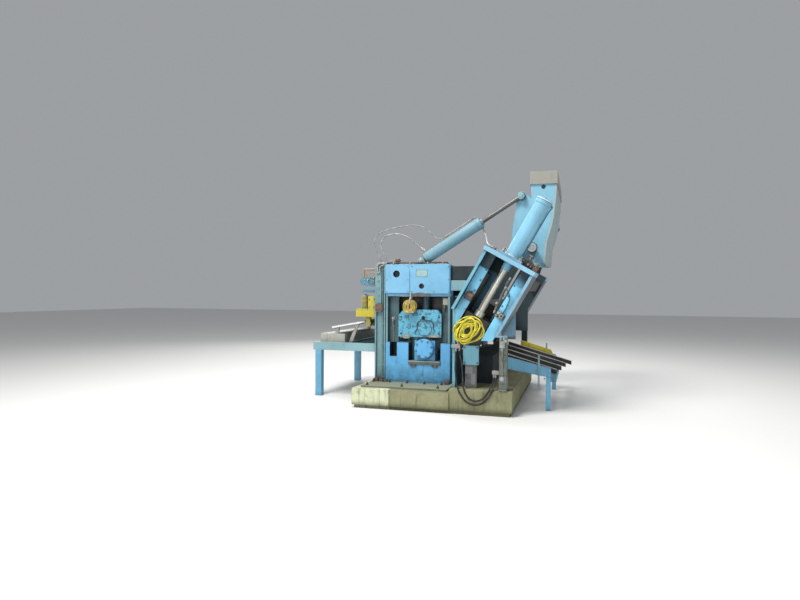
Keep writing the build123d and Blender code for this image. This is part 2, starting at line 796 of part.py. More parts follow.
with BuildPart() as exit_guard:
    with BuildSketch(Plane.XZ.offset(-1000)):
        with Locations(((-1212 + post_x0) / 2, 1330)):
            Rectangle(1212 + post_x0, 103)
    extrude(amount=2000)
    with BuildSketch(Plane.XY.offset(1380)):
        with Locations((-960, -920), (-960, 920)):
            Rectangle(112, 150)
    extrude(amount=218)
save(exit_guard.part, "exit_guard")

with BuildPart() as valve_block:
    with BuildSketch(Plane.XZ.offset(700)):
        with BuildLine():
            l2 = Polyline((post_x0, 1745), (-1100, 1760), (-1150, 1800), (-1150, 1845), (-1120, 1880), (post_x0, 1905), close=True)
        make_face()
        with Locations(((-1100 + post_x0) / 2, 1678)):
            Rectangle(1100 + post_x0, 45)
    extrude(amount=290)
save(valve_block.part, "valve_block")

# ---------------------------------------------------------------- legs of both tables
with BuildPart() as table_legs:
    with BuildSketch(Plane.XY):
        with Locations((-1893, -850), (-1893, 850)):
            Rectangle(104, 100)
    extrude(amount=735)
    with BuildSketch(Plane.XZ.offset(930)):
        with BuildLine():
            Polyline((1660, 0), (1724, 0), (1724, 473), (1660, 473 + 64 * 99 / 610), close=True)
        make_face()
    extrude(amount=70)
    with BuildSketch(Plane.XZ.offset(-1000)):
        with BuildLine():
            Polyline((1660, 0), (1724, 0), (1724, 473), (1660, 473 + 64 * 99 / 610), close=True)
        make_face()
    extrude(amount=70)
save(table_legs.part, "table_legs")

# ---------------------------------------------------------------- hydraulic fittings and pipes
with BuildPart() as hose_unions:
    # stubs on the post's top
    with BuildSketch(Plane.XY.offset(2080)):
        with Locations((-736, -960)):
            Circle(17)
        with Locations((-807, -1000)):
            Circle(14)
    extrude(amount=35)
    # two blocks on the left end of the slide's top plate
    for y in (-1030, -1082):
        with BuildSketch(Plane.XZ.offset(-y - 21)):
            with BuildLine():
                Polyline(sp(-372, 0), sp(-328, 0), sp(-328, 40), sp(-372, 40), close=True)
            make_face()
        extrude(amount=42)
    # bulkheads of the hanging hoses
    with BuildSketch(Plane.XY.offset(900)):
        with Locations(((left_x + 5 + 545) / 2, -1547.5)):
            Rectangle(545 - left_x - 5, 95)
    extrude(amount=50)
    with BuildSketch(Plane.XY.offset(560)):
        with Locations(((985 + 1083) / 2, -1555)):
            Rectangle(1083 - 985, 84)
    extrude(amount=50)
save(hose_unions.part, "hose_unions")


def lp(s_, q_):
    """Point of the lift cylinder: s along it, q across it in the upright plane."""
    return (base_x + s_ * lx - q_ * lz, base_z + s_ * lz + q_ * lx)


nose = (-0.8211, 0.5708)
ex, ez = lp(120, 100)
with BuildPart() as lift_pipes:
    # inlet elbow near the foot of the barrel
    with BuildSketch(Plane(origin=(lp(120, 84)[0], -lift_y, lp(120, 84)[1]), x_dir=(0, 1, 0), z_dir=(-lz, 0, lx))):
        Circle(17)
    extrude(amount=22)
    with BuildSketch(Plane(origin=(ex, -lift_y, ez), x_dir=(0, 1, 0), z_dir=(nose[0], 0, nose[1]))):
        Circle(17)
    extrude(amount=45)
    # union, pipe, clip and port block on top of the barrel
    with BuildSketch(lift_plane(501, -lift_y)):
        with Locations((0, 118)):
            Circle(15)
    extrude(amount=42)
    with BuildSketch(lift_plane(540, -lift_y)):
        with Locations((0, 118)):
            Circle(9)
    extrude(amount=460)
    with BuildSketch(lift_plane(700, -lift_y)):
        with Locations((0, 106)):
            Rectangle(30, 44)
    extrude(amount=24)
    with BuildSketch(lift_plane(995, -lift_y)):
        with Locations((0, 110)):
            Rectangle(40, 42)
    extrude(amount=40)
    # two stubs under the head
    for y in (-915, -951):
        with BuildSketch(Plane(origin=(lp(1015, -88.3)[0], y, lp(1015, -88.3)[1]), x_dir=(0, 1, 0), z_dir=(lz, 0, -lx))):
            Circle(12)
        extrude(amount=31.7)
save(lift_pipes.part, "lift_pipes")

# ---------------------------------------------------------------- hoses


def bend_radii(pts):
    """One bend radius at each inner point: 0.45 of the shorter run over the tangent of half the turn."""
    out = []
    for a_, b_, c_ in zip(pts, pts[1:], pts[2:]):
        v, w = Vector(*b_) - Vector(*a_), Vector(*c_) - Vector(*b_)
        turn = math.radians(v.get_angle(w))
        out.append(0.45 * min(v.length, w.length) / math.tan(turn / 2))
    return out


def hose(pts, dia, name):
    radii = bend_radii(pts)
    with BuildPart() as tube:
        with BuildLine() as route:
            FilletPolyline(*pts, radius=radii)
        with BuildSketch(Plane(origin=pts[0], z_dir=Vector(*pts[1]) - Vector(*pts[0]))):
            Circle(dia / 2)
        sweep(path=route.wire())
    length = route.wire().length
    print(name, "length", round(length, 1), "volume", round(tube.part.volume), "of", round(length * math.pi * dia * dia / 4),
          "radii", [round(r) for r in radii], "least", round(5 * dia))
    save(tube.part, name)


tip_x, tip_z = ex + 45 * nose[0], ez + 45 * nose[1]
hose([(-736, -960, 2115), (-736, -960, 2185), (-785, -970, 2272), (-815, -985, 2370), (-795, -995, 2458),
      (-725, -1000, 2525), (-600, -995, 2550), (-475, -985, 2535), (-380, -970, 2490), (-295, -950, 2425),
      (tip_x + 75 * nose[0], -lift_y, tip_z + 75 * nose[1]), (tip_x, -lift_y, tip_z)], 20, "lift_hose_a")

mx, mz = lp(501, 118)
hose([(-807, -1000, 2115), (-807, -1000, 2175), (-850, -1005, 2245), (-895, -1010, 2330), (-915, -1015, 2420),
      (-890, -1018, 2503), (-822, -1020, 2567), (-722, -1020, 2603), (-600, -1020, 2632), (-480, -1018, 2652),
      (-360, -1015, 2667), (-240, -1005, 2667), (-145, -985, 2640), (-68, -955, 2583), (-3, -lift_y, 2525),
      (55, -lift_y, 2461), (mx - 78 * lx, -lift_y, mz - 78 * lz), (mx, -lift_y, mz)], 15, "lift_hose_b")

hx, hz = lp(1015, -120)
for y0, y1, name in ((-915, -1030, "head_hose_a"), (-951, -1082, "head_hose_b")):
    ux0, uz0 = sp(-372, 20)
    hose([(hx, y0, hz), (hx + 58 * lz, y0, hz - 58 * lx), (hx + 50, y0 + 0.36 * (y1 - y0), hz - 112),
          (hx + 68, y0 + 0.78 * (y1 - y0), hz - 188), (ux0 - 50 * nx, y1, uz0 - 50 * nz), (ux0, y1, uz0)], 15, name)

hose([(484, -1570, 900), (484, -1570, 830), (478, -1580, 730), (482, -1600, 610), (494, -1622, 480), (522, -1638, 360),
      (572, -1640, 255), (650, -1640, 165), (760, -1640, 132), (870, -1640, 165), (950, -1640, 255), (1000, -1638, 352),
      (1024, -1604, 430), (1035, -1575, 500), (1035, -1575, 560)], 22, "hanging_hose_a")
hose([(520, -1520, 900), (520, -1520, 835), (548, -1545, 750), (572, -1575, 650), (585, -1605, 545), (594, -1632, 440),
      (608, -1640, 345), (650, -1640, 245), (730, -1640, 190), (825, -1640, 200), (900, -1640, 260), (958, -1637, 352),
      (992, -1596, 428), (1008, -1565, 496), (1008, -1565, 560)], 22, "hanging_hose_b")

with BuildPart() as carriage_hose_coil:
    with BuildSketch(Plane(origin=(675, -(slide_y1 + 8), 1152), x_dir=(1, 0, 0), z_dir=(0, -1, 0))):
        Ellipse(228, 204)
    extrude(amount=90)
    fillet(carriage_hose_coil.edges().filter_by(GeomType.ELLIPSE), radius=25)
save(carriage_hose_coil.part, "carriage_hose_coil")

with BuildPart() as window_hose_coil:
    with BuildSketch(Plane(origin=(-327, -1035, 1452), x_dir=(1, 0, 0), z_dir=(0, -1, 0))):
        Ellipse(122, 107)
    extrude(amount=65)
    fillet(window_hose_coil.edges().filter_by(GeomType.ELLIPSE), radius=15)
save(window_hose_coil.part, "window_hose_coil")
print("parts written")
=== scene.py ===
import bpy
import bmesh
import math
import random
from mathutils import Matrix, Vector, Euler


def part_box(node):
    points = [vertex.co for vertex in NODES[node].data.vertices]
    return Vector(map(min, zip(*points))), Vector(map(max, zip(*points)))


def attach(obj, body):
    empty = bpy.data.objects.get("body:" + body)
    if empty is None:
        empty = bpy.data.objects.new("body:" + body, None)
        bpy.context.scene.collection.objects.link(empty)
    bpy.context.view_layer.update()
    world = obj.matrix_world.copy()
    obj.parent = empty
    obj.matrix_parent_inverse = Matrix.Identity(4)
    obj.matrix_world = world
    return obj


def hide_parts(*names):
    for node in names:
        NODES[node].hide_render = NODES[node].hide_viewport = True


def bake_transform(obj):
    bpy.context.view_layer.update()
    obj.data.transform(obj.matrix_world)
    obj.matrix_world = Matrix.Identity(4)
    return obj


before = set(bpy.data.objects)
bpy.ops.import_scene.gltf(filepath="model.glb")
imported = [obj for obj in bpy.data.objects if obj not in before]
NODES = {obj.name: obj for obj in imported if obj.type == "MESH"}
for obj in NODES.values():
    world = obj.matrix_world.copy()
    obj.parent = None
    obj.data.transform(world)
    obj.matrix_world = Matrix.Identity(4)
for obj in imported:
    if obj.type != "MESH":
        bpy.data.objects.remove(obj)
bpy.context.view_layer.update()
scene = bpy.context.scene
rng = random.Random(7)

# ------------------------------------------------------------------ camera
cam_data = bpy.data.cameras.new("camera")
cam = bpy.data.objects.new("camera", cam_data)
scene.collection.objects.link(cam)
cam_data.sensor_width = 36.0
cam_data.lens = 26.416
cam_data.clip_end = 200.0
cam.matrix_world = Matrix((
    (0.95605017, -0.00898637, 0.29306537, 2.10795),
    (0.29314717, 0.00977157, -0.95601739, -9.50368),
    (0.00572742, 0.99991188, 0.01197644, 1.65),
    (0.0, 0.0, 0.0, 1.0),
))
scene.camera = cam

# ------------------------------------------------------------------ layout shared with the construction
LEAN = math.radians(29.5)
UX, UZ = math.sin(LEAN), math.cos(LEAN)
NX, NZ = math.cos(LEAN), -math.sin(LEAN)
SLIDE = (1.224, 2.111)


def sp(n, t):
    """Point of the leaning slide: n across, t along, in metres. Gives x, z."""
    return SLIDE[0] + t * UX + n * NX, SLIDE[1] + t * UZ + n * NZ


BASE = (-0.171, 2.133)
LUG = (1.293, 3.047)
LL = math.hypot(LUG[0] - BASE[0], LUG[1] - BASE[1])
LX, LZ = (LUG[0] - BASE[0]) / LL, (LUG[1] - BASE[1]) / LL


def lp(s, q=0.0):
    """Point along the lift cylinder: s along it, q above its axis. Gives x, z."""
    return BASE[0] + s * LX - q * LZ, BASE[1] + s * LZ + q * LX


# ------------------------------------------------------------------ materials
def new_mat(name):
    m = bpy.data.materials.new(name)
    m.use_nodes = True
    nt = m.node_tree
    nt.nodes.clear()
    return m, nt


def N(nt, kind, **kw):
    n = nt.nodes.new(kind)
    for k, v in kw.items():
        setattr(n, k, v)
    return n


def noise(nt, vec, scale, detail=4.0, rough=0.55, distortion=0.0):
    n = N(nt, "ShaderNodeTexNoise")
    n.inputs["Scale"].default_value = scale
    n.inputs["Detail"].default_value = detail
    n.inputs["Roughness"].default_value = rough
    n.inputs["Distortion"].default_value = distortion
    nt.links.new(vec, n.inputs["Vector"])
    return n.outputs["Fac"]


def ramp(nt, fac, a, b, va=0.0, vb=1.0):
    """Remaps fac from a..b to va..vb, clamped and smooth."""
    n = N(nt, "ShaderNodeMapRange")
    n.interpolation_type = "SMOOTHSTEP"
    n.inputs["From Min"].default_value = a
    n.inputs["From Max"].default_value = b
    n.inputs["To Min"].default_value = va
    n.inputs["To Max"].default_value = vb
    nt.links.new(fac, n.inputs["Value"])
    return n.outputs["Result"]


def math_node(nt, op, a, b=None, clamp=False):
    n = N(nt, "ShaderNodeMath", operation=op, use_clamp=clamp)
    for i, v in enumerate((a, b)):
        if v is None:
            continue
        if isinstance(v, (int, float)):
            n.inputs[i].default_value = v
        else:
            nt.links.new(v, n.inputs[i])
    return n.outputs[0]


def mix_col(nt, fac, a, b, blend="MIX"):
    n = N(nt, "ShaderNodeMix", data_type="RGBA", blend_type=blend)
    n.clamp_factor = True
    if isinstance(fac, (int, float)):
        n.inputs[0].default_value = fac
    else:
        nt.links.new(fac, n.inputs[0])
    for i, v in ((6, a), (7, b)):
        if isinstance(v, tuple):
            n.inputs[i].default_value = (*v[:3], 1.0)
        else:
            nt.links.new(v, n.inputs[i])
    return n.outputs[2]


def mapping(nt, vec, scale=(1, 1, 1), rot=(0, 0, 0), loc=(0, 0, 0)):
    n = N(nt, "ShaderNodeMapping")
    n.inputs["Scale"].default_value = scale
    n.inputs["Rotation"].default_value = rot
    n.inputs["Location"].default_value = loc
    nt.links.new(vec, n.inputs["Vector"])
    return n.outputs["Vector"]


def surface(nt, color, roughness, metallic, normal, specular=0.5, coat=0.0):
    p = N(nt, "ShaderNodeBsdfPrincipled")
    out = N(nt, "ShaderNodeOutputMaterial")
    for key, v in (("Base Color", color), ("Roughness", roughness), ("Metallic", metallic)):
        if isinstance(v, tuple):
            p.inputs[key].default_value = (*v[:3], 1.0)
        elif isinstance(v, (int, float)):
            p.inputs[key].default_value = v
        else:
            nt.links.new(v, p.inputs[key])
    p.inputs["Specular IOR Level"].default_value = specular
    p.inputs["Coat Weight"].default_value = coat
    if normal is not None:
        nt.links.new(normal, p.inputs["Normal"])
    nt.links.new(p.outputs[0], out.inputs[0])
    return p


def bump(nt, height, strength, distance, normal=None):
    n = N(nt, "ShaderNodeBump")
    n.inputs["Strength"].default_value = strength
    n.inputs["Distance"].default_value = distance
    nt.links.new(height, n.inputs["Height"])
    if normal is not None:
        nt.links.new(normal, n.inputs["Normal"])
    return n.outputs["Normal"]


def edge_mask(nt, radius, vec, scale=26.0):
    """1 near an outer or inner edge, broken up by noise. Also gives the rounded normal."""
    bev = N(nt, "ShaderNodeBevel", samples=4)
    bev.inputs["Radius"].default_value = radius
    geo = N(nt, "ShaderNodeNewGeometry")
    dot = N(nt, "ShaderNodeVectorMath", operation="DOT_PRODUCT")
    nt.links.new(bev.outputs[0], dot.inputs[0])
    nt.links.new(geo.outputs["Normal"], dot.inputs[1])
    near = ramp(nt, dot.outputs["Value"], 0.72, 0.995, 1.0, 0.0)
    broken = noise(nt, vec, scale, 6.0, 0.7)
    return near, broken, bev.outputs[0]


def enamel(name, base, dark, dust=(0.30, 0.29, 0.25), bare=(0.33, 0.30, 0.26), wear=0.5, dust_amount=0.5,
           grime_and_shade=0.5, rough=0.42, shift=0.0, streak=0.7, shaded_oily_faces=None, shaded_oily_col=(0.02, 0.03, 0.035), shaded_oily_amount=0.85,
           low_dirt=0.0, inside_shade=0.0, low_col=None, low_z=0.0, blotch=0.0, dark_above=None, under_top_shadow=0.0, deep_shade=0.0):
    """Sprayed enamel on plate: cloudy colour, drips of dirt, dust on what faces up, chipped edges, and painted shade
    in corners, on faces turned chosen ways, under the slide top plate, deep inside and on inward faces.
    """
    m, nt = new_mat(name)
    tc = N(nt, "ShaderNodeTexCoord")
    vec = mapping(nt, tc.outputs["Object"], loc=(shift, shift * 0.7, shift * 1.3))
    geo = N(nt, "ShaderNodeNewGeometry")
    big = noise(nt, vec, 1.6, 3.0, 0.5)
    mid = noise(nt, vec, 9.0, 5.0, 0.6, 0.4)
    fine = noise(nt, vec, 70.0, 3.0, 0.6)
    run = noise(nt, mapping(nt, vec, scale=(9.0, 9.0, 1.0)), 2.2, 6.0, 0.68, 0.9)
    light = tuple(min(1.0, c * 1.16 + 0.015) for c in base)
    col = mix_col(nt, ramp(nt, big, 0.32, 0.68), base, light)
    col = mix_col(nt, ramp(nt, mid, 0.50, 0.78, 0.0, 0.34), col, tuple(c * 0.72 for c in base))
    # drips
    drip = math_node(nt, "MULTIPLY", ramp(nt, run, 0.50, 0.72), ramp(nt, mid, 0.35, 0.62))
    col = mix_col(nt, math_node(nt, "MULTIPLY", drip, grime_and_shade * streak), col, dark)
    # painted shade and dirt in corners: the AO node darkens creases and recesses
    ao = N(nt, "ShaderNodeAmbientOcclusion", samples=4)
    ao.inputs["Distance"].default_value = 0.11
    corner_dirt_shade = ramp(nt, ao.outputs["AO"], 0.35, 0.92, 1.0, 0.0)
    corner_dirt_shade = math_node(nt, "MULTIPLY", corner_dirt_shade, ramp(nt, mid, 0.25, 0.6, 0.45, 1.0))
    col = mix_col(nt, math_node(nt, "MULTIPLY", corner_dirt_shade, grime_and_shade), col, dark)
    if low_dirt:
        sepo = N(nt, "ShaderNodeSeparateXYZ")
        nt.links.new(tc.outputs["Object"], sepo.inputs[0])
        splash = math_node(nt, "MULTIPLY", ramp(nt, sepo.outputs["Z"], 0.30, 0.62, 1.0, 0.0), ramp(nt, mid, 0.3, 0.6, 0.3, 1.0))
        col = mix_col(nt, math_node(nt, "MULTIPLY", splash, low_dirt), col, dark)
    # painted shade, partly oily dirt: faces turned the given ways are mixed towards a near-black colour
    if shaded_oily_faces is not None:
        for direction in shaded_oily_faces:
            d = N(nt, "ShaderNodeVectorMath", operation="DOT_PRODUCT")
            nt.links.new(geo.outputs["Normal"], d.inputs[0])
            d.inputs[1].default_value = direction
            side = math_node(nt, "MULTIPLY", ramp(nt, d.outputs["Value"], 0.75, 0.95), ramp(nt, big, 0.2, 0.7, 0.8, 1.0))
            col = mix_col(nt, math_node(nt, "MULTIPLY", side, shaded_oily_amount), col, shaded_oily_col)
    if blotch:
        spot = noise(nt, vec, 15.0, 3.0, 0.55, 0.8)
        fleck = noise(nt, vec, 42.0, 2.0, 0.5)
        spot = math_node(nt, "MAXIMUM", ramp(nt, spot, 0.545, 0.60), math_node(nt, "MULTIPLY", ramp(nt, fleck, 0.62, 0.68), 0.7))
        col = mix_col(nt, math_node(nt, "MULTIPLY", spot, blotch), col, tuple(0.30 * a + 0.35 * b for a, b in zip(base, dark)))
    if dark_above is not None:
        sepa = N(nt, "ShaderNodeSeparateXYZ")
        nt.links.new(tc.outputs["Object"], sepa.inputs[0])
        col = mix_col(nt, ramp(nt, sepa.outputs["Z"], dark_above - 0.004, dark_above + 0.004, 0.0, 0.88), col, (0.014, 0.020, 0.022))
    # painted shadow of the slide's top plate: dark down to about 0.28 m along the slide, a little lighter in its lower
    # part on the right half
    if under_top_shadow:
        sept = N(nt, "ShaderNodeVectorMath", operation="DOT_PRODUCT")
        nt.links.new(tc.outputs["Object"], sept.inputs[0])
        sept.inputs[1].default_value = (UX, 0.0, UZ)
        along = math_node(nt, "SUBTRACT", sept.outputs["Value"], SLIDE[0] * UX + SLIDE[1] * UZ)
        along = math_node(nt, "ADD", along, ramp(nt, mid, 0.2, 0.8, -0.02, 0.02))
        septn = N(nt, "ShaderNodeVectorMath", operation="DOT_PRODUCT")
        nt.links.new(tc.outputs["Object"], septn.inputs[0])
        septn.inputs[1].default_value = (NX, 0.0, NZ)
        across = math_node(nt, "SUBTRACT", septn.outputs["Value"], SLIDE[0] * NX + SLIDE[1] * NZ)
        right = ramp(nt, across, -0.02, 0.02)
        soft = ramp(nt, along, -0.27, -0.12, 0.0, 1.0)
        fade = math_node(nt, "MULTIPLY", math_node(nt, "MULTIPLY", right, 0.52), math_node(nt, "SUBTRACT", 1.0, soft))
        painted_top_shadow = math_node(nt, "MULTIPLY", ramp(nt, along, -0.296, -0.270), math_node(nt, "SUBTRACT", 1.0, fade))
        col = mix_col(nt, math_node(nt, "MULTIPLY", painted_top_shadow, under_top_shadow), col, (0.013, 0.031, 0.036))
    # painted shade deep inside the frame: where |Y| is under 1.03 to 1.12 m the colour goes near-black
    if deep_shade:
        sepd = N(nt, "ShaderNodeSeparateXYZ")
        nt.links.new(tc.outputs["Object"], sepd.inputs[0])
        inmost_shade = ramp(nt, math_node(nt, "ABSOLUTE", sepd.outputs["Y"]), 1.03, 1.12, 1.0, 0.0)
        col = mix_col(nt, math_node(nt, "MULTIPLY", inmost_shade, deep_shade), col, (0.012, 0.024, 0.028))
    if low_col is not None:
        sepl = N(nt, "ShaderNodeSeparateXYZ")
        nt.links.new(tc.outputs["Object"], sepl.inputs[0])
        low = math_node(nt, "ADD", sepl.outputs["Z"], ramp(nt, mid, 0.2, 0.8, -0.03, 0.03))
        col = mix_col(nt, ramp(nt, low, low_z - 0.02, low_z + 0.02, 1.0, 0.0), col, mix_col(nt, ramp(nt, mid, 0.40, 0.66), low_col, tuple(c * 0.45 for c in low_col)))
    # painted shade on faces that turn towards the machine's middle plane
    if inside_shade:
        sepi = N(nt, "ShaderNodeSeparateXYZ")
        nt.links.new(tc.outputs["Object"], sepi.inputs[0])
        sepm = N(nt, "ShaderNodeSeparateXYZ")
        nt.links.new(geo.outputs["Normal"], sepm.inputs[0])
        inward_shade = math_node(nt, "MULTIPLY", math_node(nt, "SIGN", sepi.outputs["Y"]), sepm.outputs["Y"])
        inward_shade = ramp(nt, inward_shade, -0.9, -0.4, 1.0, 0.0)
        col = mix_col(nt, math_node(nt, "MULTIPLY", inward_shade, inside_shade), col, (0.018, 0.034, 0.040))
    # dust on upward faces
    sep = N(nt, "ShaderNodeSeparateXYZ")
    nt.links.new(geo.outputs["Normal"], sep.inputs[0])
    up = ramp(nt, sep.outputs["Z"], 0.35, 0.95)
    dusty = math_node(nt, "MULTIPLY", up, ramp(nt, mid, 0.2, 0.7, 0.45, 1.0))
    col = mix_col(nt, math_node(nt, "MULTIPLY", dusty, dust_amount), col, dust)
    # chips
    near, broken, round_n = edge_mask(nt, 0.006, vec)
    chip = math_node(nt, "MULTIPLY", near, ramp(nt, broken, 0.50, 0.60))
    spots = ramp(nt, noise(nt, vec, 38.0, 7.0, 0.72), 0.70, 0.735)
    chips = math_node(nt, "MAXIMUM", chip, math_node(nt, "MULTIPLY", spots, 0.8))
    chips = math_node(nt, "MULTIPLY", chips, wear, clamp=True)
    rust = mix_col(nt, ramp(nt, fine, 0.4, 0.6), bare, (0.16, 0.085, 0.045))
    col = mix_col(nt, chips, col, rust)
    r = math_node(nt, "ADD", ramp(nt, mid, 0.2, 0.8, rough - 0.07, rough + 0.12), math_node(nt, "MULTIPLY", dusty, 0.25))
    r = math_node(nt, "ADD", r, math_node(nt, "MULTIPLY", chips, 0.15), clamp=True)
    h = math_node(nt, "ADD", math_node(nt, "MULTIPLY", fine, 0.35), math_node(nt, "MULTIPLY", mid, 1.0))
    h = math_node(nt, "SUBTRACT", h, math_node(nt, "MULTIPLY", chips, 0.6))
    nrm = bump(nt, h, 0.30, 0.0035, round_n)
    surface(nt, col, r, math_node(nt, "MULTIPLY", chips, 0.35), nrm)
    return m


def steel(name, base, rough, axis=None, stain=(0.10, 0.075, 0.05), stain_amount=0.4, metallic=0.9, radius=0.004):
    """Bare steel: turned or brushed lines along an axis, oil stains, painted shade in corners, brighter edges."""
    m, nt = new_mat(name)
    tc = N(nt, "ShaderNodeTexCoord")
    vec = tc.outputs["Object"]
    sc = {None: (1, 1, 1), "x": (0.3, 12, 12), "y": (12, 0.3, 12), "z": (12, 12, 0.3)}[axis]
    lines = noise(nt, mapping(nt, vec, scale=sc), 26.0, 3.0, 0.6)
    mid = noise(nt, vec, 7.0, 6.0, 0.62, 0.5)
    fine = noise(nt, vec, 90.0, 3.0, 0.6)
    col = mix_col(nt, ramp(nt, lines, 0.3, 0.7), tuple(c * 0.80 for c in base), base)
    col = mix_col(nt, ramp(nt, mid, 0.48, 0.72, 0.0, stain_amount), col, stain)
    # painted shade: the AO node darkens corners and recesses
    ao = N(nt, "ShaderNodeAmbientOcclusion", samples=4)
    ao.inputs["Distance"].default_value = 0.08
    col = mix_col(nt, ramp(nt, ao.outputs["AO"], 0.3, 0.9, 0.7, 0.0), col, tuple(c * 0.5 for c in stain))
    near, broken, round_n = edge_mask(nt, radius, vec)
    edge = math_node(nt, "MULTIPLY", near, ramp(nt, broken, 0.42, 0.58))
    col = mix_col(nt, math_node(nt, "MULTIPLY", edge, 0.6), col, tuple(min(1.0, c * 1.5 + 0.06) for c in base))
    r = ramp(nt, mid, 0.3, 0.75, rough, rough + 0.22)
    h = math_node(nt, "ADD", lines, math_node(nt, "MULTIPLY", fine, 0.5))
    surface(nt, col, r, metallic, bump(nt, h, 0.22, 0.0015, round_n))
    return m


def rod_finish(name, base, film, rough=0.30):
    """Chromed rod under an oil film: smooth, a little cloudy, faint streaks along it."""
    m, nt = new_mat(name)
    tc = N(nt, "ShaderNodeTexCoord")
    vec = tc.outputs["Object"]
    cloud = noise(nt, vec, 5.0, 4.0, 0.55, 0.4)
    fine = noise(nt, vec, 60.0, 2.0, 0.5)
    col = mix_col(nt, ramp(nt, cloud, 0.38, 0.70, 0.0, 0.55), base, film)
    col = mix_col(nt, ramp(nt, fine, 0.58, 0.75, 0.0, 0.25), col, film)
    h = math_node(nt, "ADD", fine, math_node(nt, "MULTIPLY", cloud, 0.5))
    surface(nt, col, ramp(nt, cloud, 0.3, 0.7, rough, rough + 0.14), 0.55, bump(nt, h, 0.05, 0.0006))
    return m


def concrete(name, base, stain):
    m, nt = new_mat(name)
    tc = N(nt, "ShaderNodeTexCoord")
    vec = tc.outputs["Object"]
    geo = N(nt, "ShaderNodeNewGeometry")
    big = noise(nt, vec, 2.3, 4.0, 0.6)
    mid = noise(nt, vec, 11.0, 6.0, 0.65, 0.3)
    fine = noise(nt, vec, 120.0, 4.0, 0.7)
    run = noise(nt, mapping(nt, vec, scale=(8.0, 8.0, 0.7)), 2.4, 5.0, 0.6, 0.4)
    sep = N(nt, "ShaderNodeSeparateXYZ")
    nt.links.new(tc.outputs["Object"], sep.inputs[0])
    col = mix_col(nt, ramp(nt, big, 0.35, 0.65), base, tuple(min(1.0, c * 1.28) for c in base))
    col = mix_col(nt, ramp(nt, sep.outputs["X"], -0.462, -0.450, 1.0, 0.0), col, (0.60, 0.63, 0.43))
    joint = math_node(nt, "COMPARE", sep.outputs["X"], -0.456)
    joint.node.inputs[2].default_value = 0.005
    col = mix_col(nt, math_node(nt, "MULTIPLY", joint, 0.75), col, tuple(c * 0.25 for c in base))
    col = mix_col(nt, ramp(nt, mid, 0.45, 0.75, 0.0, 0.45), col, tuple(c * 0.68 for c in base))
    col = mix_col(nt, ramp(nt, run, 0.50, 0.74, 0.0, 0.75), col, stain)
    # painted shade along the foot: darker towards the bottom
    low = ramp(nt, sep.outputs["Z"], 0.02, 0.13, 0.75, 0.0)
    col = mix_col(nt, low, col, tuple(c * 0.45 for c in stain))
    sepn = N(nt, "ShaderNodeSeparateXYZ")
    nt.links.new(geo.outputs["Normal"], sepn.inputs[0])
    oily = math_node(nt, "MULTIPLY", ramp(nt, sepn.outputs["Z"], 0.5, 0.95), ramp(nt, big, 0.42, 0.62))
    col = mix_col(nt, math_node(nt, "MULTIPLY", oily, 0.35), col, (0.09, 0.08, 0.055))
    pores = ramp(nt, noise(nt, vec, 46.0, 2.0, 0.5), 0.66, 0.72)
    col = mix_col(nt, math_node(nt, "MULTIPLY", pores, 0.55), col, tuple(c * 0.35 for c in base))
    near, broken, round_n = edge_mask(nt, 0.016, vec, 14.0)
    chip = math_node(nt, "MULTIPLY", near, ramp(nt, broken, 0.44, 0.60))
    col = mix_col(nt, math_node(nt, "MULTIPLY", chip, 0.5), col, tuple(min(1.0, c * 1.35) for c in base))
    h = math_node(nt, "ADD", math_node(nt, "MULTIPLY", fine, 0.4), math_node(nt, "MULTIPLY", mid, 1.2))
    h = math_node(nt, "SUBTRACT", h, math_node(nt, "MULTIPLY", pores, 0.8))
    r = math_node(nt, "SUBTRACT", ramp(nt, mid, 0.2, 0.8, 0.78, 0.95), math_node(nt, "MULTIPLY", oily, 0.35))
    surface(nt, col, r, 0.0, bump(nt, h, 0.45, 0.003, round_n), specular=0.3)
    return m


def rubber(name, base, rough=0.62, weave=0.0):
    m, nt = new_mat(name)
    tc = N(nt, "ShaderNodeTexCoord")
    vec = tc.outputs["Object"]
    mid = noise(nt, vec, 14.0, 5.0, 0.6)
    fine = noise(nt, vec, 160.0, 3.0, 0.6)
    col = mix_col(nt, ramp(nt, mid, 0.42, 0.72), base, tuple(c * 1.9 + 0.02 for c in base))
    h = math_node(nt, "ADD", fine, math_node(nt, "MULTIPLY", mid, 0.5))
    surface(nt, col, ramp(nt, mid, 0.3, 0.7, rough - 0.1, rough + 0.15), 0.0, bump(nt, h, 0.35, 0.0015), specular=0.4)
    return m


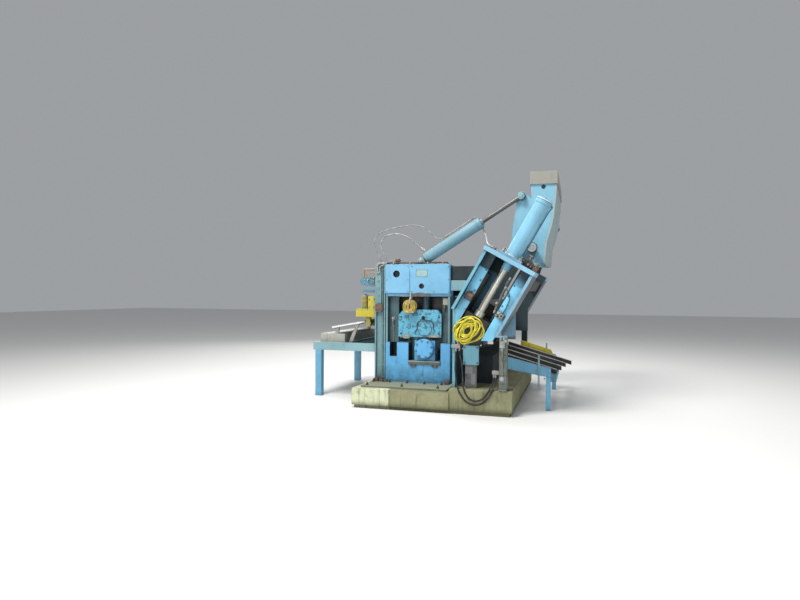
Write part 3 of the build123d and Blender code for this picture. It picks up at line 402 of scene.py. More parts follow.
BLUE = (0.150, 0.440, 0.680)
DARK_BLUE = (0.022, 0.070, 0.095)
N_DIR = (NX, 0.0, NZ)
N_BACK = (-NX, 0.0, -NZ)
M = {
    "blue": enamel("blue_enamel_mat", (0.115, 0.33, 0.49), DARK_BLUE, dust=(0.22, 0.30, 0.31), wear=0.7, grime_and_shade=0.6),
    "crown": enamel("crown_enamel_mat", (0.140, 0.355, 0.530), DARK_BLUE, dust=(0.24, 0.33, 0.36), wear=0.4, shift=1.5, grime_and_shade=0.36, streak=0.4, inside_shade=0.85),
    "housing": enamel("housing_enamel_mat", (0.088, 0.345, 0.61), DARK_BLUE, dust=(0.18, 0.24, 0.24), wear=0.7, shift=4.2, grime_and_shade=0.75, low_dirt=0.6, inside_shade=0.85, streak=0.9),
    "slide": enamel("slide_enamel_mat", (0.205, 0.59, 0.86), DARK_BLUE, dust=(0.22, 0.30, 0.32), wear=0.6, shift=7.7, grime_and_shade=0.5, inside_shade=0.975, under_top_shadow=0.965, deep_shade=0.62),
    # painted shade: the arm brackets get a near-black teal, as they sit in shadow below the arm
    "bracket": enamel("arm_bracket_mat", (0.038, 0.082, 0.100), (0.010, 0.018, 0.022), dust=(0.10, 0.13, 0.135), wear=0.6, shift=7.1, grime_and_shade=0.85, inside_shade=0.85),
    "tip": enamel("tip_block_mat", (0.275, 0.27, 0.235), (0.075, 0.068, 0.048), dust=(0.26, 0.25, 0.22), wear=0.7, shift=11.4, grime_and_shade=0.7),
    "plate": enamel("slide_plate_mat", (0.12, 0.33, 0.42), DARK_BLUE, dust=(0.20, 0.28, 0.30), wear=0.6, shift=6.6, grime_and_shade=0.6,
                    shaded_oily_faces=(N_DIR, (1.0, 0.0, 0.0)), shaded_oily_col=(0.016, 0.030, 0.036), inside_shade=0.9),
    "plate_right": enamel("right_plate_mat", (0.185, 0.35, 0.47), (0.05, 0.06, 0.045), dust=(0.20, 0.28, 0.30), wear=0.6, shift=3.9, grime_and_shade=0.6,
                          shaded_oily_faces=(N_BACK, (-1.0, 0.0, 0.0), N_DIR), shaded_oily_col=(0.020, 0.026, 0.028), low_dirt=0.8, inside_shade=0.98,
                          low_col=(0.14, 0.165, 0.135), low_z=1.04),
    "post": enamel("post_enamel_mat", (0.122, 0.240, 0.262), (0.02, 0.045, 0.055), dust=(0.24, 0.29, 0.29), wear=0.6, shift=2.4, grime_and_shade=0.75, low_dirt=0.6),
    "blue_pale": enamel("blue_pale_mat", (0.19, 0.335, 0.37), DARK_BLUE, dust=(0.25, 0.29, 0.29), wear=0.7, shift=3.0, grime_and_shade=0.6),
    "top_plate": enamel("top_plate_mat", (0.215, 0.44, 0.60), DARK_BLUE, dust=(0.26, 0.36, 0.38), wear=0.6, shift=3.3, grime_and_shade=0.5, inside_shade=0.96),
    "blue_deep": enamel("blue_deep_mat", (0.060, 0.20, 0.28), (0.010, 0.030, 0.040), dust=(0.10, 0.14, 0.15), wear=0.6, shift=5.0, grime_and_shade=0.85, rough=0.5),
    "blue_oily": enamel("blue_oily_mat", (0.095, 0.375, 0.53), (0.008, 0.018, 0.022), dust=(0.06, 0.08, 0.08), wear=0.7, shift=8.0, grime_and_shade=0.85, rough=0.36, streak=0.8, blotch=0.85, dark_above=1.402),
    "arm": enamel("arm_enamel_mat", (0.195, 0.42, 0.545), DARK_BLUE, dust=(0.25, 0.33, 0.35), wear=0.5, shift=9.5, grime_and_shade=0.4, streak=0.5),
    "barrel": enamel("barrel_enamel_mat", (0.190, 0.43, 0.575), DARK_BLUE, dust=(0.26, 0.36, 0.38), wear=0.35, shift=12.5, grime_and_shade=0.35, streak=0.45, rough=0.36),
    "barrel_lift": enamel("lift_barrel_enamel_mat", (0.122, 0.252, 0.312), DARK_BLUE, dust=(0.27, 0.34, 0.36), wear=0.35, shift=12.9, grime_and_shade=0.4, streak=0.4, rough=0.38),
    # painted shade: near-black for the linings of bores, pockets and slots
    "hole": enamel("dark_bore_mat", (0.006, 0.016, 0.026), (0.003, 0.006, 0.008), dust=(0.012, 0.022, 0.028), wear=0.2, shift=21.0, grime_and_shade=0.6, rough=0.6),
    "guide": enamel("window_guide_mat", (0.046, 0.105, 0.122), (0.012, 0.018, 0.020), dust=(0.09, 0.11, 0.11), wear=0.9, shift=22.0, grime_and_shade=0.9, rough=0.46, bare=(0.20, 0.19, 0.17)),
    "sole": enamel("sole_plate_mat", (0.185, 0.205, 0.140), (0.06, 0.055, 0.035), dust=(0.24, 0.24, 0.17), wear=0.8, shift=23.0, grime_and_shade=0.8, rough=0.55),
    # painted shade: near-black blue for the crown beam, bed beam and bridge hoods, which sit in shadow
    "painted_shade_blue": enamel("shaded_blue_mat", (0.007, 0.017, 0.020), (0.003, 0.006, 0.008), dust=(0.018, 0.026, 0.029), wear=0.6, shift=24.0, grime_and_shade=0.8, rough=0.65),
    "orange": enamel("orange_case_mat", (0.17, 0.088, 0.055), (0.07, 0.04, 0.028), dust=(0.24, 0.17, 0.12), wear=0.7, shift=25.0, grime_and_shade=0.6, rough=0.5),
    "beige": enamel("beige_box_mat", (0.27, 0.28, 0.235), (0.06, 0.06, 0.045), dust=(0.30, 0.30, 0.25), wear=0.8, shift=26.0, grime_and_shade=0.8, rough=0.5),
    "rusty": steel("rusty_stud_mat", (0.095, 0.075, 0.058), 0.6, None, stain=(0.045, 0.034, 0.026), stain_amount=0.7, metallic=0.35, radius=0.002),
    "violet_grey": enamel("primer_grey_mat", (0.165, 0.180, 0.195), (0.05, 0.05, 0.055), dust=(0.19, 0.20, 0.21), wear=0.8, shift=27.0, grime_and_shade=0.8, rough=0.5),
    # pale enamel for the apron cover sheet, and the painted highlight bands on the press cylinders
    "pale_sheet_highlight": enamel("pale_sheet_highlight_mat", (0.66, 0.68, 0.68), (0.22, 0.22, 0.20), dust=(0.52, 0.53, 0.52), wear=0.5, shift=28.0, grime_and_shade=0.5, rough=0.35),
    "yellow_dull": enamel("dull_yellow_mat", (0.42, 0.37, 0.08), (0.10, 0.085, 0.04), dust=(0.38, 0.36, 0.22), wear=0.9, shift=29.0, grime_and_shade=0.8, rough=0.5),
    "cream": enamel("cream_enamel_mat", (0.36, 0.36, 0.31), (0.085, 0.075, 0.05), dust=(0.30, 0.29, 0.25), wear=0.8, shift=11.0, grime_and_shade=0.7),
    "yellow": enamel("yellow_enamel_mat", (0.43, 0.37, 0.022), (0.08, 0.065, 0.02), dust=(0.34, 0.31, 0.13), wear=0.9, shift=2.0, grime_and_shade=0.85),
    "grey": enamel("grey_steel_mat", (0.20, 0.22, 0.22), (0.035, 0.032, 0.028), dust=(0.24, 0.24, 0.22), wear=0.9, shift=9.0, grime_and_shade=0.8, rough=0.5),
    "light": enamel("light_fitting_mat", (0.32, 0.34, 0.32), (0.08, 0.08, 0.07), dust=(0.28, 0.29, 0.27), wear=0.7, shift=13.0, grime_and_shade=0.7, rough=0.42),
    "cyan": enamel("cyan_plate_mat", (0.15, 0.38, 0.48), DARK_BLUE, dust=(0.22, 0.32, 0.34), wear=0.5, shift=14.0, grime_and_shade=0.5),
    "rust": enamel("rust_brown_mat", (0.125, 0.062, 0.045), (0.04, 0.024, 0.02), dust=(0.14, 0.10, 0.08), wear=0.5, shift=15.0, grime_and_shade=0.8, rough=0.6),
    "tan": enamel("tan_pipe_mat", (0.30, 0.22, 0.145), (0.10, 0.07, 0.05), dust=(0.36, 0.30, 0.22), wear=0.5, shift=16.0, grime_and_shade=0.6, rough=0.5),
    "box_brown": enamel("box_brown_mat", (0.055, 0.060, 0.065), (0.015, 0.015, 0.015), dust=(0.24, 0.15, 0.08), wear=0.8, shift=17.0, grime_and_shade=0.8, rough=0.5, dust_amount=0.9),
    "worn": enamel("worn_steel_mat", (0.30, 0.40, 0.42), (0.10, 0.10, 0.09), dust=(0.34, 0.35, 0.33), bare=(0.52, 0.50, 0.46), wear=1.0, shift=6.0, grime_and_shade=0.6, rough=0.38),
    "dark": steel("dark_steel_mat", (0.060, 0.058, 0.054), 0.48, None, stain=(0.028, 0.022, 0.016), stain_amount=0.6, metallic=0.35),
    "dirty": steel("dirty_steel_mat", (0.14, 0.145, 0.14), 0.55, None, stain=(0.04, 0.035, 0.028), stain_amount=0.7, metallic=0.25),
    "ground": steel("ground_steel_mat", (0.40, 0.395, 0.37), 0.30, "y", stain=(0.16, 0.13, 0.09), stain_amount=0.45),
    "bright": steel("bright_edge_mat", (0.72, 0.72, 0.70), 0.34, None, stain=(0.34, 0.31, 0.26), stain_amount=0.4, metallic=0.5, radius=0.001),
    "rod": rod_finish("rod_steel_mat", (0.62, 0.61, 0.54), (0.34, 0.34, 0.28)),
    "rod_dark": rod_finish("lift_rod_steel_mat", (0.13, 0.13, 0.12), (0.06, 0.06, 0.053), 0.38),
    "zinc": steel("zinc_bolt_mat", (0.36, 0.36, 0.34), 0.40, None, stain=(0.10, 0.07, 0.045), stain_amount=0.6, metallic=0.7, radius=0.002),
    "brass": steel("brass_fitting_mat", (0.55, 0.40, 0.16), 0.35, None, stain=(0.14, 0.09, 0.04), stain_amount=0.5, metallic=0.8, radius=0.002),
    "concrete": concrete("plinth_concrete_mat", (0.225, 0.225, 0.130), (0.095, 0.088, 0.048)),
    "rubber": rubber("black_rubber_mat", (0.016, 0.016, 0.017)),
    "hose_grey": rubber("grey_hose_mat", (0.20, 0.22, 0.21), 0.5),
    "hose_light": rubber("light_hose_mat", (0.34, 0.37, 0.36), 0.5),
    "hose_yellow": rubber("yellow_hose_mat", (0.46, 0.405, 0.030), 0.5),
    "hose_orange": rubber("orange_hose_mat", (0.33, 0.245, 0.055), 0.55),
    "strap": rubber("tie_strap_mat", (0.05, 0.05, 0.045), 0.7),
    "plaque": enamel("bare_plaque_mat", (0.24, 0.38, 0.40), (0.08, 0.10, 0.09), dust=(0.32, 0.36, 0.32), wear=0.5, shift=18.0, grime_and_shade=0.6, rough=0.45),
    "plaque_rim": enamel("plaque_rim_mat", (0.30, 0.34, 0.24), (0.10, 0.11, 0.08), dust=(0.32, 0.33, 0.26), wear=0.6, shift=19.0, grime_and_shade=0.6, rough=0.45),
}

NODE_MAT = {
    "plinth": "concrete",
    "crowns": "crown", "roll_housings": "housing", "exit_posts": "post",
    "lower_roll": "ground", "upper_roll": "ground", "bending_roll": "ground", "exit_roller": "ground",
    "press_rods": "rod", "lift_rods": "rod_dark",
    "arm_side_plates": "arm", "arm_cross_beams": "arm", "arm_brackets": "bracket",
    "arm_table_plate": "worn", "arm_tip_block": "tip", "exit_tray": "cream",
    "press_cylinders": "barrel", "lift_barrels": "barrel_lift", "lift_clevises": "blue_pale",
    "entry_side_guide": "yellow", "exit_guard": "yellow",
    "skid_bars": "dark", "slide_tie_beam": "dark", "arm_pivot_shaft": "light",
    "upper_yoke": "dark", "carriage_beam": "dark", "keeper_bars": "dirty", "slide_guides": "dark",
    "crossheads": "dark", "exit_apron": "ground", "exit_roller_bearings": "yellow",
    "upper_chocks": "blue_oily", "lower_chocks": "housing", "window_cheeks": "guide",
    "bridge_plates": "blue_pale", "bridge_hoods": "painted_shade_blue", "exit_side_rails": "blue_pale", "table_legs": "blue",
    "slide_webs": "slide", "slide_left_plates": "plate", "slide_right_plates": "plate_right", "slide_top_plates": "top_plate",
    "crown_beam": "painted_shade_blue", "bed_beam": "painted_shade_blue", "exit_cross_beams": "blue_deep",
    "entry_cross_beams": "blue_deep", "entry_side_rails": "blue", "stop_plates": "dirty", "sole_plates": "sole",
    "hose_unions": "zinc", "lift_pipes": "zinc", "valve_block": "blue_deep",
}
for name, obj in NODES.items():
    mat = M[NODE_MAT.get(name, "blue")]
    if not obj.material_slots:
        obj.data.materials.append(mat)
    for s in obj.material_slots:
        s.material = mat

# ------------------------------------------------------------------ cords
def nurbs_route(name, pts, res=10):
    """A smooth open curve with the route's points as its control points."""
    cu = bpy.data.curves.new(name, "CURVE")
    cu.dimensions = "3D"
    cu.resolution_u = res
    spline = cu.splines.new("NURBS")
    spline.points.add(len(pts) - 1)
    for p, co in zip(spline.points, pts):
        p.co = (co[0], co[1], co[2], 1.0)
    spline.order_u = 3
    spline.use_endpoint_u = True
    ob = bpy.data.objects.new(name, cu)
    scene.collection.objects.link(ob)
    return ob


def route_line(ob):
    """The points of a route's smooth line, in order."""
    bpy.context.view_layer.update()
    me = bpy.data.meshes.new_from_object(ob.evaluated_get(bpy.context.evaluated_depsgraph_get()))
    line = [v.co.copy() for v in me.vertices]
    bpy.data.meshes.remove(me)
    return line


def curve_hose(name, pts, dia, mat, body, res=10, round_=4):
    ob = nurbs_route(name, pts, res)
    ob.data.bevel_depth = dia / 2
    ob.data.bevel_resolution = round_
    ob.data.use_fill_caps = True
    ob.data.materials.append(M[mat])
    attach(ob, body)
    return ob


def tube(bm, line, r, n=12, rfun=None):
    """Skins a tube of radius r round a line of points in metres."""
    rings = []
    t0 = (line[1] - line[0]).normalized()
    side = t0.orthogonal().normalized()
    for i, p in enumerate(line):
        a = line[max(0, i - 1)]
        b = line[min(len(line) - 1, i + 1)]
        t = (b - a).normalized()
        side = (side - t * side.dot(t)).normalized()
        up = t.cross(side)
        rr = r if rfun is None else rfun(i)
        rings.append([bm.verts.new(p + (side * math.cos(2 * math.pi * k / n) + up * math.sin(2 * math.pi * k / n)) * rr) for k in range(n)])
    for ra, rb in zip(rings, rings[1:]):
        for k in range(n):
            bm.faces.new((ra[k], ra[(k + 1) % n], rb[(k + 1) % n], rb[k]))
    bm.faces.new(list(reversed(rings[0])))
    bm.faces.new(rings[-1])


def piece(name, bm, mat, body, bevel=0.0, smooth=35.0):
    """Turns a bmesh into a piece that rides on a body."""
    bmesh.ops.recalc_face_normals(bm, faces=bm.faces)
    me = bpy.data.meshes.new(name)
    bm.to_mesh(me)
    bm.free()
    ob = bpy.data.objects.new(name, me)
    scene.collection.objects.link(ob)
    me.materials.append(M[mat])
    if smooth:
        for poly_ in me.polygons:
            poly_.use_smooth = True
        me.set_sharp_from_angle(angle=math.radians(smooth))
    if bevel:
        mod = ob.modifiers.new("bevel", "BEVEL")
        mod.width = bevel * 0.001
        mod.segments = 2
        mod.limit_method = "ANGLE"
        mod.angle_limit = math.radians(38)
    if body:
        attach(ob, body)
    return ob


def blended_hose(name, node, pts, dia, mat, sleeves):
    """Hose between the fixed machine and the lift barrels, built once in place; its end sleeves ride on the two
    bodies.
    """
    route = nurbs_route(name + "_route", pts)
    line = route_line(route)
    bpy.data.objects.remove(route)
    bm = bmesh.new()
    tube(bm, line, dia / 2, 14)
    ob = piece(name, bm, mat, None, smooth=60)
    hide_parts(node)
    start_body, end_body = sleeves
    for tag, (a, b), body in (("_start", (line[0], line[1]), start_body), ("_end", (line[-1], line[-2]), end_body)):
        axis = (b - a).normalized()
        bm = bmesh.new()
        turned(bm, a * 1000, axis, [(0, dia * 620), (4, dia * 700), (30, dia * 700), (34, dia * 640), (38, dia * 640), (44, dia * 560)], 16)
        hexhead(bm, a * 1000, axis, dia * 1000, 14, None, washer=False)
        piece(name + tag, bm, "zinc", body, smooth=40)
    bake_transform(ob)
    return ob


# ------------------------------------------------------------------ small shapes, in millimetres
def v(x, y, z):
    return Vector((x, y, z)) * 0.001


def spv(n, t, y):
    x, z = sp(n / 1000, t / 1000)
    return Vector((x * 1000, y, z * 1000))


def lpv(s_, q_, y):
    x, z = lp(s_ / 1000, q_ / 1000)
    return Vector((x * 1000, y, z * 1000))


def basis(axis):
    a = Vector(axis).normalized()
    ref = Vector((0, 0, 1)) if abs(a.z) < 0.9 else Vector((1, 0, 0))
    x = ref.cross(a).normalized()
    return x, a.cross(x), a


def turned(bm, p, axis, prof, n=20, phase=0.0):
    """A turned body: rings at each (distance along axis, radius)."""
    x, y, a = basis(axis)
    p = Vector(p)
    rings = []
    for d, r in prof:
        rings.append([bm.verts.new((p + a * d + (x * math.cos(phase + 2 * math.pi * k / n) + y * math.sin(phase + 2 * math.pi * k / n)) * r) * 0.001)
                      for k in range(n)])
    for ra, rb in zip(rings, rings[1:]):
        for k in range(n):
            bm.faces.new((ra[k], ra[(k + 1) % n], rb[(k + 1) % n], rb[k]))
    bm.faces.new(list(reversed(rings[0])))
    bm.faces.new(rings[-1])


def hexhead(bm, p, axis, r, h, seed, washer=True):
    """A hexagon head with its chamfer, on a washer."""
    a = Vector(axis).normalized()
    z = 0.0
    if washer:
        turned(bm, p, a, [(-0.5, r * 1.30), (h * 0.16, r * 1.30), (h * 0.20, r * 1.22)], 16)
        z = h * 0.19
    phase = 0.0 if seed is None else seed * 0.37
    turned(bm, Vector(p) + a * z, a, [(-0.3, r), (h * 0.80, r), (h, r * 0.84)], 6, phase)


def stud(bm, p, axis, r, h, nut_h, seed):
    """A threaded stud that stands out of its nut."""
    hexhead(bm, p, axis, r * 1.85, nut_h, seed)
    steps = []
    d = nut_h * 0.9
    while d < h - 3:
        steps += [(d, r), (d + 1.6, r * 0.90)]
        d += 3.2
    steps.append((h, r * 0.8))
    turned(bm, p, axis, steps, 12)


def block(bm, c, size, x=(1, 0, 0), z=(0, 0, 1)):
    """A box with centre c and its size along x, y and z axes."""
    X = Vector(x).normalized()
    Z = Vector(z).normalized()
    Y = Z.cross(X).normalized()
    c = Vector(c)
    vs = []
    for i in (-0.5, 0.5):
        for j in (-0.5, 0.5):
            for k in (-0.5, 0.5):
                vs.append(bm.verts.new((c + X * (size[0] * i) + Y * (size[1] * j) + Z * (size[2] * k)) * 0.001))
    for f in ((0, 1, 3, 2), (4, 6, 7, 5), (0, 4, 5, 1), (2, 3, 7, 6), (0, 2, 6, 4), (1, 5, 7, 3)):
        bm.faces.new([vs[k] for k in f])


def prism(bm, pts, depth):
    """A polygon of points carried along depth."""
    d = Vector(depth)
    a = [bm.verts.new(Vector(p) * 0.001) for p in pts]
    b = [bm.verts.new((Vector(p) + d) * 0.001) for p in pts]
    n = len(a)
    for k in range(n):
        bm.faces.new((a[k], a[(k + 1) % n], b[(k + 1) % n], b[k]))
    bm.faces.new(list(reversed(a)))
    bm.faces.new(b)


def bead(bm, a, b, r=4.0, seed=0, step=9.0):
    """A weld bead with its ripples from a to b."""
    a, b = Vector(a), Vector(b)
    n = max(3, int((b - a).length / step))
    rnd = random.Random(seed)
    rr = [r * (0.82 + 0.36 * rnd.random()) * (1.0 if i % 2 else 0.80) for i in range(n + 1)]
    line = [(a + (b - a) * (i / n)) * 0.001 for i in range(n + 1)]
    tube(bm, line, r * 0.001, 6, lambda i: rr[i] * 0.001)


def pipe(name, pts, dia, mat, body):
    """A rigid steel pipe through points in millimetres, with bends where they turn."""
    return curve_hose(name, [tuple(Vector(p) * 0.001) for p in pts], dia * 0.001, mat, body)


def rot(p, c, ang):
    """Turns the point p round c in the upright plane."""
    dx, dz = p[0] - c[0], p[1] - c[1]
    return c[0] + dx * math.cos(ang) - dz * math.sin(ang), c[1] + dx * math.sin(ang) + dz * math.cos(ang)


tip = lp(0.120, 0.100)
NOSE = (-0.8211, 0.5708)
tip = (tip[0] + 0.045 * NOSE[0], tip[1] + 0.045 * NOSE[1])
inlet = lp(0.501, 0.118)
blended_hose("lift_hose_a_tube", "lift_hose_a", [
    (-0.736, -0.960, 2.115), (-0.736, -0.960, 2.185), (-0.785, -0.970, 2.272), (-0.815, -0.985, 2.370), (-0.795, -0.995, 2.458),
    (-0.725, -1.000, 2.525), (-0.600, -0.995, 2.550), (-0.475, -0.985, 2.535), (-0.380, -0.970, 2.490), (-0.295, -0.950, 2.425),
    (tip[0] + 0.075 * NOSE[0], -0.933, tip[1] + 0.075 * NOSE[1]), (tip[0], -0.933, tip[1])],
    0.020, "hose_grey", ("frame", "lift_barrels"))
blended_hose("lift_hose_b_tube", "lift_hose_b", [
    (-0.807, -1.000, 2.115), (-0.807, -1.000, 2.175), (-0.850, -1.005, 2.245), (-0.895, -1.010, 2.330), (-0.915, -1.015, 2.420),
    (-0.890, -1.018, 2.503), (-0.822, -1.020, 2.567), (-0.722, -1.020, 2.603), (-0.600, -1.020, 2.632), (-0.480, -1.018, 2.652),
    (-0.360, -1.015, 2.667), (-0.240, -1.005, 2.667), (-0.145, -0.985, 2.640), (-0.068, -0.955, 2.583), (-0.003, -0.933, 2.525),
    (0.055, -0.933, 2.461), (inlet[0] - 0.078 * LX, -0.933, inlet[1] - 0.078 * LZ), (inlet[0], -0.933, inlet[1])],
    0.015, "hose_grey", ("frame", "lift_barrels"))
head = lp(1.015, -0.120)
union = sp(-0.372, 0.020)
for tag, y0, y1 in (("a", -0.915, -1.030), ("b", -0.951, -1.082)):
    blended_hose("head_hose_%s_tube" % tag, "head_hose_%s" % tag, [
        (head[0], y0, head[1]), (head[0] + 0.058 * LZ, y0, head[1] - 0.058 * LX),
        (head[0] + 0.050, y0 + 0.36 * (y1 - y0), head[1] - 0.112), (head[0] + 0.068, y0 + 0.78 * (y1 - y0), head[1] - 0.188),
        (union[0] - 0.050 * NX, y1, union[1] - 0.050 * NZ), (union[0], y1, union[1])],
        0.015, "hose_light", ("lift_barrels", "frame"))


def hanging(name, node, pts, dia):
    ob = curve_hose(name, pts, dia, "rubber", "frame")
    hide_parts(node)
    for tag, a, b in (("_in", pts[0], pts[1]), ("_out", pts[-1], pts[-2])):
        a, b = Vector(a), Vector(b)
        axis = (b - a).normalized()
        bm = bmesh.new()
        turned(bm, a * 1000, axis, [(-2, dia * 640), (3, dia * 720), (40, dia * 720), (45, dia * 600)], 16)
        hexhead(bm, a * 1000, axis, dia * 1000, 16, None, washer=False)
        piece(name + tag, bm, "zinc", "frame", smooth=40)


hanging("hanging_hose_a_tube", "hanging_hose_a", [
    (0.484, -1.570, 0.900), (0.484, -1.570, 0.830), (0.478, -1.580, 0.730), (0.482, -1.600, 0.610), (0.494, -1.622, 0.480),
    (0.522, -1.638, 0.360), (0.572, -1.640, 0.255), (0.650, -1.640, 0.165), (0.760, -1.640, 0.132), (0.870, -1.640, 0.165),
    (0.950, -1.640, 0.255), (1.000, -1.638, 0.352), (1.024, -1.604, 0.430), (1.035, -1.575, 0.500), (1.035, -1.575, 0.560)], 0.022)
hanging("hanging_hose_b_tube", "hanging_hose_b", [
    (0.520, -1.520, 0.900), (0.520, -1.520, 0.835), (0.548, -1.545, 0.750), (0.572, -1.575, 0.650), (0.585, -1.605, 0.545),
    (0.594, -1.632, 0.440), (0.608, -1.640, 0.345), (0.650, -1.640, 0.245), (0.730, -1.640, 0.190), (0.825, -1.640, 0.200),
    (0.900, -1.640, 0.260), (0.958, -1.637, 0.352), (0.992, -1.596, 0.428), (1.008, -1.565, 0.496), (1.008, -1.565, 0.560)], 0.022)


def spiral(c, y, a, b, tilt, f0, f1, turns, start, per=14, wob=0.0, ph=0.0, dy=0.0):
    """Points of a flat loose coil about c: factor f0 to f1 of the half sizes a and b."""
    out = []
    total = int(turns * per)
    for i in range(total + 1):
        g = i / total
        th = start + 2 * math.pi * turns * g
        f = f0 + (f1 - f0) * g
        f += wob * math.sin(0.43 * th + ph) * 0.5 + wob * 0.35 * math.sin(1.31 * th + 2.1 * ph)
        x, z = a * f * math.cos(th), b * f * math.sin(th)
        x, z = x * math.cos(tilt) - z * math.sin(tilt), x * math.sin(tilt) + z * math.cos(tilt)
        out.append((c[0] + x, y + dy * math.sin(0.71 * th + ph), c[1] + z))
    return out


# yellow hose bundle on the peg of the carriage: loose layers of turns that cross each other, and a free end below
def heap(centre, layers, first):
    out = list(first)
    for (dx, dz, y, a, b, tilt, f0, f1, turns, wob, ph, per) in layers:
        c = (centre[0] + dx, centre[1] + dz)
        last = out[-1]
        ang = math.atan2(last[2] - c[1], last[0] - c[0]) - tilt + 2 * math.pi / per
        start = math.atan2(math.sin(ang) / b, math.cos(ang) / a)
        out += spiral(c, y, a, b, tilt, f0, f1, turns, start, per=per, wob=wob, ph=ph, dy=0.0010)
    return out


cc = (0.675, 1.152)
pts = heap(cc, (
    (-0.002, -0.002, -1.6392, 0.196, 0.166, 0.30, 0.30, 1.00, 3.4, 0.14, 0.4, 15),
    (-0.006, 0.000, -1.6568, 0.198, 0.120, 0.02, 1.00, 0.34, 3.2, 0.17, 1.7, 14),
    (-0.008, -0.002, -1.6742, 0.186, 0.104, 1.16, 0.34, 1.00, 3.4, 0.18, 2.9, 14),
    (-0.002, 0.000, -1.6908, 0.192, 0.094, 0.52, 1.00, 0.40, 3.2, 0.19, 4.4, 13),
    (-0.012, -0.006, -1.7040, 0.178, 0.104, 1.02, 0.44, 1.02, 1.94, 0.06, 5.2, 13),
), [(0.690, -1.640, 1.228), (0.672, -1.640, 1.240)])
pts = [(cc[0] + (x - cc[0] - 0.004) * 1.115, y, cc[1] + (z - cc[1] - 0.002) * 1.175) for x, y, z in pts]
coil = curve_hose("carriage_coil_tube", pts, 0.020, "hose_yellow", "press_carriage", 5, 3)
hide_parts("carriage_hose_coil")


def route_length(pts):
    tmp = nurbs_route("measure", pts)
    line = route_line(tmp)
    bpy.data.objects.remove(tmp)
    return sum((b - a).length for a, b in zip(line, line[1:]))


def end_fitting(name, a, b, dia, body):
    """A crimped coupling on a hose end at a, which lies on the line from b."""
    a, b = Vector(a), Vector(b)
    axis = (b - a).normalized()
    bm = bmesh.new()
    turned(bm, a * 1000 - axis * 24, axis, [(0, dia * 430), (6, dia * 470), (8, dia * 470), (10, dia * 640), (48, dia * 640), (54, dia * 540)], 16)
    hexhead(bm, a * 1000 - axis * 20, axis, dia * 800, 13, None, washer=False)
    return piece(name, bm, "zinc", body, smooth=40)


coil_end = end_fitting("carriage_coil_end", pts[-1], pts[-2], 0.0165, "press_carriage")
coil_root = end_fitting("carriage_coil_root", pts[0], pts[1], 0.020, "press_carriage")
round(route_length(pts), 2)


def hank(c, y, a, b, lean_, f0, f1, turns, start, per=16, ph=0.0):
    """Points of a tall loose hank about c, its two sides nearly upright."""
    out = []
    total = int(turns * per)
    for i in range(total + 1):
        g = i / total
        th = start + 2 * math.pi * turns * g
        f = f0 + (f1 - f0) * g
        cs, sn = math.cos(th), math.sin(th)
        x = a * f * math.copysign(abs(cs) ** 0.75, cs)
        z = b * (0.62 + 0.38 * f) * math.copysign(abs(sn) ** 0.85, sn)
        z += 0.004 * math.sin(0.61 * th + ph)
        x += 0.003 * math.sin(0.37 * th + 1.3 * ph)
        x, z = x * math.cos(lean_) - z * math.sin(lean_), x * math.sin(lean_) + z * math.cos(lean_)
        out.append((c[0] + x, y, c[1] + z))
    return out


wc = (-0.327, 1.448)
wpts = [(-0.300, -1.040, 1.602), (-0.302, -1.043, 1.575)]
wpts += hank(wc, -1.046, 0.104, 0.094, -0.16, 0.42, 0.98, 3.0, 1.9, ph=0.3)
wpts += hank(wc, -1.067, 0.104, 0.094, 0.14, 0.96, 0.10, 4.0, 1.9 + 0.39, ph=1.9)
wpts += hank(wc, -1.088, 0.102, 0.092, -0.06, 0.08, 0.98, 4.4, 1.9 + 0.78, ph=4.0)
wcoil = curve_hose("window_coil_tube", wpts, 0.018, "hose_orange", "frame", 4, 3)
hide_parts("window_hose_coil")
w_end = end_fitting("window_coil_end", wpts[-1], wpts[-2], 0.018, "frame")
# hanger: a flat strap from the crown's lip, round the hank's top
bm = bmesh.new()
strap = [(-318, -1053, 1664), (-318, -1058, 1660), (-316, -1062, 1600), (-318, -1102, 1552), (-320, -1103, 1520), (-322, -1099, 1490)]
prev = None
for q in strap:
    ring_ = [bm.verts.new((Vector(q) + Vector(o)) * 0.001) for o in ((-9, 0, 0), (9, 0, 0), (9, 2.5, 0), (-9, 2.5, 0))]
    if prev:
        for k in range(4):
            bm.faces.new((prev[k], prev[(k + 1) % 4], ring_[(k + 1) % 4], ring_[k]))
    else:
        bm.faces.new(ring_)
    prev = ring_
bm.faces.new(list(reversed(prev)))
hexhead(bm, (-318, -1054, 1654), (0, -1, 0), 8, 6, 1)
hanger = piece("window_coil_hanger", bm, "light", "frame")
round(route_length(wpts), 2)

# ------------------------------------------------------------------ fittings and small parts
FRONT = (0, -1, 0)
BACK = (0, 1, 0)
UP = (0, 0, 1)
AX_U = (UX, 0, UZ)
AX_N = (NX, 0, NZ)
AX_L = (LX, 0, LZ)


def table_z(x):
    """Top line of the entry table, in millimetres."""
    return 815 - 0.285 * (x - 930)


def heads(name, pts, axis, r, h, body, mat="zinc", seed=0):
    """Bolt heads at the points on the near side and, mirrored, on the far side."""
    bm = bmesh.new()
    for i, p in enumerate(pts):
        p = Vector(p)
        hexhead(bm, p, axis, r, h, seed + i)
        hexhead(bm, (p.x, -p.y, p.z), (axis[0], -axis[1], axis[2]), r, h, seed + i + 3)
    return piece(name, bm, mat, body, smooth=30)


def circle_pts(c, axis, r, n, phase=0.0):
    x, y, a = basis(axis)
    return [Vector(c) + (x * math.cos(phase + 2 * math.pi * k / n) + y * math.sin(phase + 2 * math.pi * k / n)) * r for k in range(n)]


